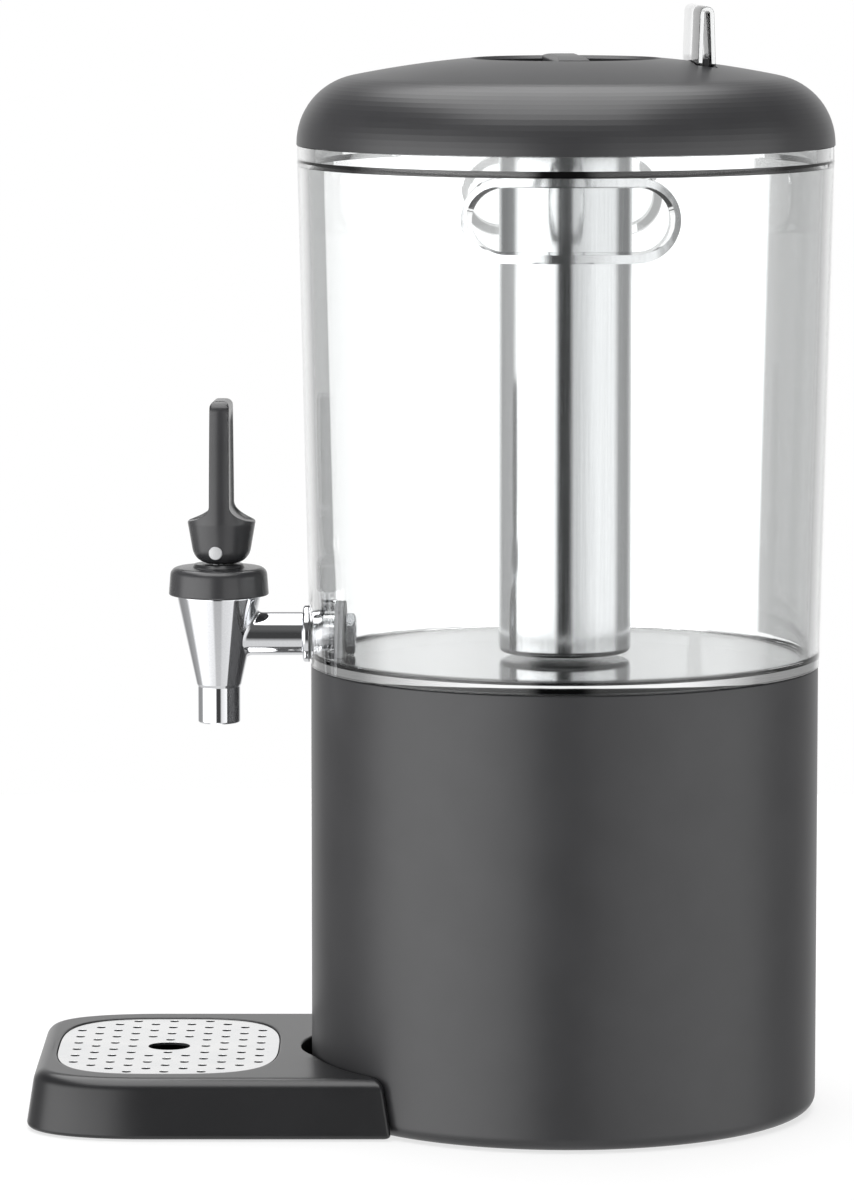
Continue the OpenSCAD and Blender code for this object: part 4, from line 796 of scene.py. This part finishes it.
def pierced_steel_painted_shade():
    """Bright rolled steel above; in its holes the sheared walls are rougher and painted dark as shade:
    tone follows height.
    """
    made, tree, place = new_material("steel_rolled_bright_pierced_painted_hole_shade")
    height = add(tree, "SeparateXYZ", Vector=place).outputs["Z"]
    # How far up a hole's wall a point is: this sets the real roughness and the painted shade of the
    # colour
    polish = add(tree, "MapRange", Value=height, From_Min=(PLATE_Z + PLATE_T - DULL_SHADED_BELOW) * MM,
                 From_Max=(PLATE_Z + PLATE_T - BRIGHT_ABOVE) * MM).outputs[0]
    cloud = add(tree, "TexNoise", Vector=place, Scale=1 / (CLOUDS_MM * MM), Detail=3.0)
    bright = add(tree, "ValToRGB", Fac=cloud.outputs["Fac"],
                 stops=[(0.35, linear("#f2f3f4")), (0.65, linear("#fafafa"))])
    # On a colour Mix node the sockets are 0 for the factor, 6 and 7 for the colours, and 2 out
    # Deep in a hole the colour is painted shade: dark grey in place of the steel's own bright tone
    tone = add(tree, "Mix", {"data_type": "RGBA"}, i0=polish, i6=linear("#4a4b4d"),
               i7=bright.outputs[0])
    rough = add(tree, "MapRange", Value=polish, To_Min=0.6, To_Max=0.16)
    skin = add(tree, "BsdfPrincipled", Base_Color=tone.outputs[2], Metallic=1.0,
               Roughness=rough.outputs[0])
    add(tree, "OutputMaterial", Surface=skin.outputs[0])
    return made

# %% Work out the rim of every hole
# A rim is rings at growing depth: how far its edge is eased outwards, and its height. The last
# ring stands on the plate's lower face.
RIM = np.array([(1.0, 0.0), (0.6, -0.08), (0.2, -0.3), (0.0, -0.9), (0.0, -3.43)]) * EASE
RIM = RIM + [0, PLATE_Z + PLATE_T]
RIM[-1, 1] = PLATE_Z


def rims(middles, radius, sides):
    """Rings of a funnel about each middle, radius plus ease wide: (holes, rings, sides, 3)."""
    a = np.linspace(0, 2 * np.pi, sides, endpoint=False)
    r = radius + RIM[:, 0]
    x = middles[:, None, None, 0] + r[None, :, None] * np.cos(a)
    y = middles[:, None, None, 1] + r[None, :, None] * np.sin(a)
    return np.stack([x, y, RIM[None, :, 1, None] + 0 * x], 3)


small = rims(holes, HOLE_R, HOLE_SIDES)
finger = rims(floor_middle[None, :], FINGER_R, FINGER_SIDES)
a = np.linspace(0, 2 * np.pi, EDGE_SIDES, endpoint=False)
edge = np.array([np.column_stack([bowed_ring(ease, a), 0 * a + z]) for ease, z in RIM])

# %% Fill the flat between the holes
from mathutils import geometry

# Triangles whose middle lies within a hole's polygon are left out; MERGE_NET joins doubled points
HOLE_SLACK, FINGER_SLACK, MERGE_NET, LEVEL = 0.002, 0.001, 1e-7, 0.9999
flat = np.vstack([edge[0], finger[0, 0], small[:, 0].reshape(-1, 3)])[:, :2]
sizes = [EDGE_SIDES, FINGER_SIDES] + [HOLE_SIDES] * len(holes)
starts = np.cumsum([0] + sizes[:-1]).tolist()
sides = [(s + k, s + (k + 1) % n) for s, n in zip(starts, sizes) for k in range(n)]
net = geometry.delaunay_2d_cdt(flat.tolist(), sides, [list(range(EDGE_SIDES))], 1, MERGE_NET)
flat_points, triangles = np.array(net[0]), np.array(net[2])
centre = flat_points[triangles].mean(1)
off_hole = np.linalg.norm(centre[:, None] - holes[None], axis=2).min(1)
off_finger = np.linalg.norm(centre - floor_middle, axis=1)
near_hole = (HOLE_R + EASE) * math.cos(math.pi / HOLE_SIDES) - HOLE_SLACK
near_finger = (FINGER_R + EASE) * math.cos(math.pi / FINGER_SIDES) - FINGER_SLACK
triangles = triangles[(off_hole > near_hole) & (off_finger > near_finger)]

# %% Press the plate
def quads_of(grid):
    """Points and quads of rings, shaped (..., rings, sides, 3), which face away from the metal."""
    *many, rings, sides, _ = grid.shape
    count = int(np.prod(many)) if many else 1
    a, b = np.divmod(np.arange((rings - 1) * sides), sides)
    c = (b + 1) % sides
    quads = np.stack([a * sides + b, (a + 1) * sides + b, (a + 1) * sides + c, a * sides + c], 1)
    firsts = np.arange(count)[:, None, None] * rings * sides
    return grid.reshape(-1, 3), (quads[None] + firsts).reshape(-1, 4)


parts, faces, first = [], [], 0
top = np.column_stack([flat_points, 0 * flat_points[:, 0] + PLATE_Z + PLATE_T])
flat_low = np.vstack([edge[-1], finger[0, -1], small[:, -1].reshape(-1, 3)])
low_points = flat_low[np.linalg.norm(flat[None] - flat_points[:, None], axis=2).argmin(1)]
edge_points, edge_quads = quads_of(edge)
for points, shapes in [(top, triangles), (low_points, triangles[:, ::-1]), quads_of(small),
                       quads_of(finger), (edge_points, edge_quads[:, ::-1])]:
    parts.append(points + AXIS)
    faces += (shapes + first).tolist()
    first += len(points)
plate = make_piece("plate_pierced", np.concatenate(parts), faces, "drip_plate", "bright_steel",
                   "drip_plate", finish=pierced_steel_painted_shade(), sharp=50)
# The level faces are flat-shaded, so that the eased rims don't bend the light on them
upright = np.zeros(len(plate.data.polygons) * 3)
plate.data.polygons.foreach_get("normal", upright)
level = np.abs(upright.reshape(-1, 3)[:, 2]) > LEVEL
plate.data.polygons.foreach_set("use_smooth", ~level)

# %% [markdown]
# ## The label holder
#
# A strip of clear acrylic, warmed and bent over a rod into a narrow arch that stands in its slot.
# The sheet's section is a long thin rectangle with polished round edges. It is carried along the
# arch: up one leg, round the top and down the other.

# %% Bend the label holder
LEG_HALF, TOP_R, SHEET_T, LABEL_H, LABEL_L = 4.2, 3.05, 2.0, 34.5, 60.0
LABEL_REACH, LID_TURN = 57.5, math.radians(4)
LABEL_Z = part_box("label_holder")[0].z / MM
a = np.linspace(0, np.pi, 25)
bend_r = TOP_R - SHEET_T / 2
arch = np.stack([bend_r * np.cos(a), LABEL_H - TOP_R + bend_r * np.sin(a)], 1)
path = np.vstack([[(LEG_HALF - SHEET_T / 2, 0.0)], arch, [(SHEET_T / 2 - LEG_HALF, 0.0)]])
path = along(path, STEP)
tangent = np.gradient(path, axis=0)
tangent /= np.linalg.norm(tangent, axis=1)[:, None]
normal = np.stack([tangent[:, 1], -tangent[:, 0]], 1)
section = rounded([(-LABEL_L / 2, -SHEET_T / 2), (LABEL_L / 2, -SHEET_T / 2),
                   (LABEL_L / 2, SHEET_T / 2), (-LABEL_L / 2, SHEET_T / 2)], 0.45)
rings = np.stack([path[:, None, 0] + normal[:, None, 0] * section[None, :, 1],
                  section[None, :, 0] + 0 * path[:, :1],
                  path[:, None, 1] + normal[:, None, 1] * section[None, :, 1]], 2)
ends = [np.broadcast_to(ring.mean(0), ring.shape)[None] for ring in (rings[0], rings[-1])]
sheet = np.concatenate([ends[0], rings, ends[1]])
c, s = math.cos(LID_TURN), math.sin(LID_TURN)
turned_sheet = (sheet + [LABEL_REACH, 0, 0]) @ np.array([[c, s, 0], [-s, c, 0], [0, 0, 1]])
sheet = turned_sheet + AXIS + [0, 0, LABEL_Z]
make_piece("label_arch", *solid(sheet), "label_holder", "clear_holder", "label_holder")

# %% [markdown]
# ## Dress the CAD nodes
#
# Every node carries one material slot, named for its finish.

# %% Assign materials
for name, node in nodes.items():
    for slot in node.material_slots:
        slot.material = materials[slot.material.name.split(".")[0]]
print("dressed:", len(nodes), "nodes with", len(materials), "materials")
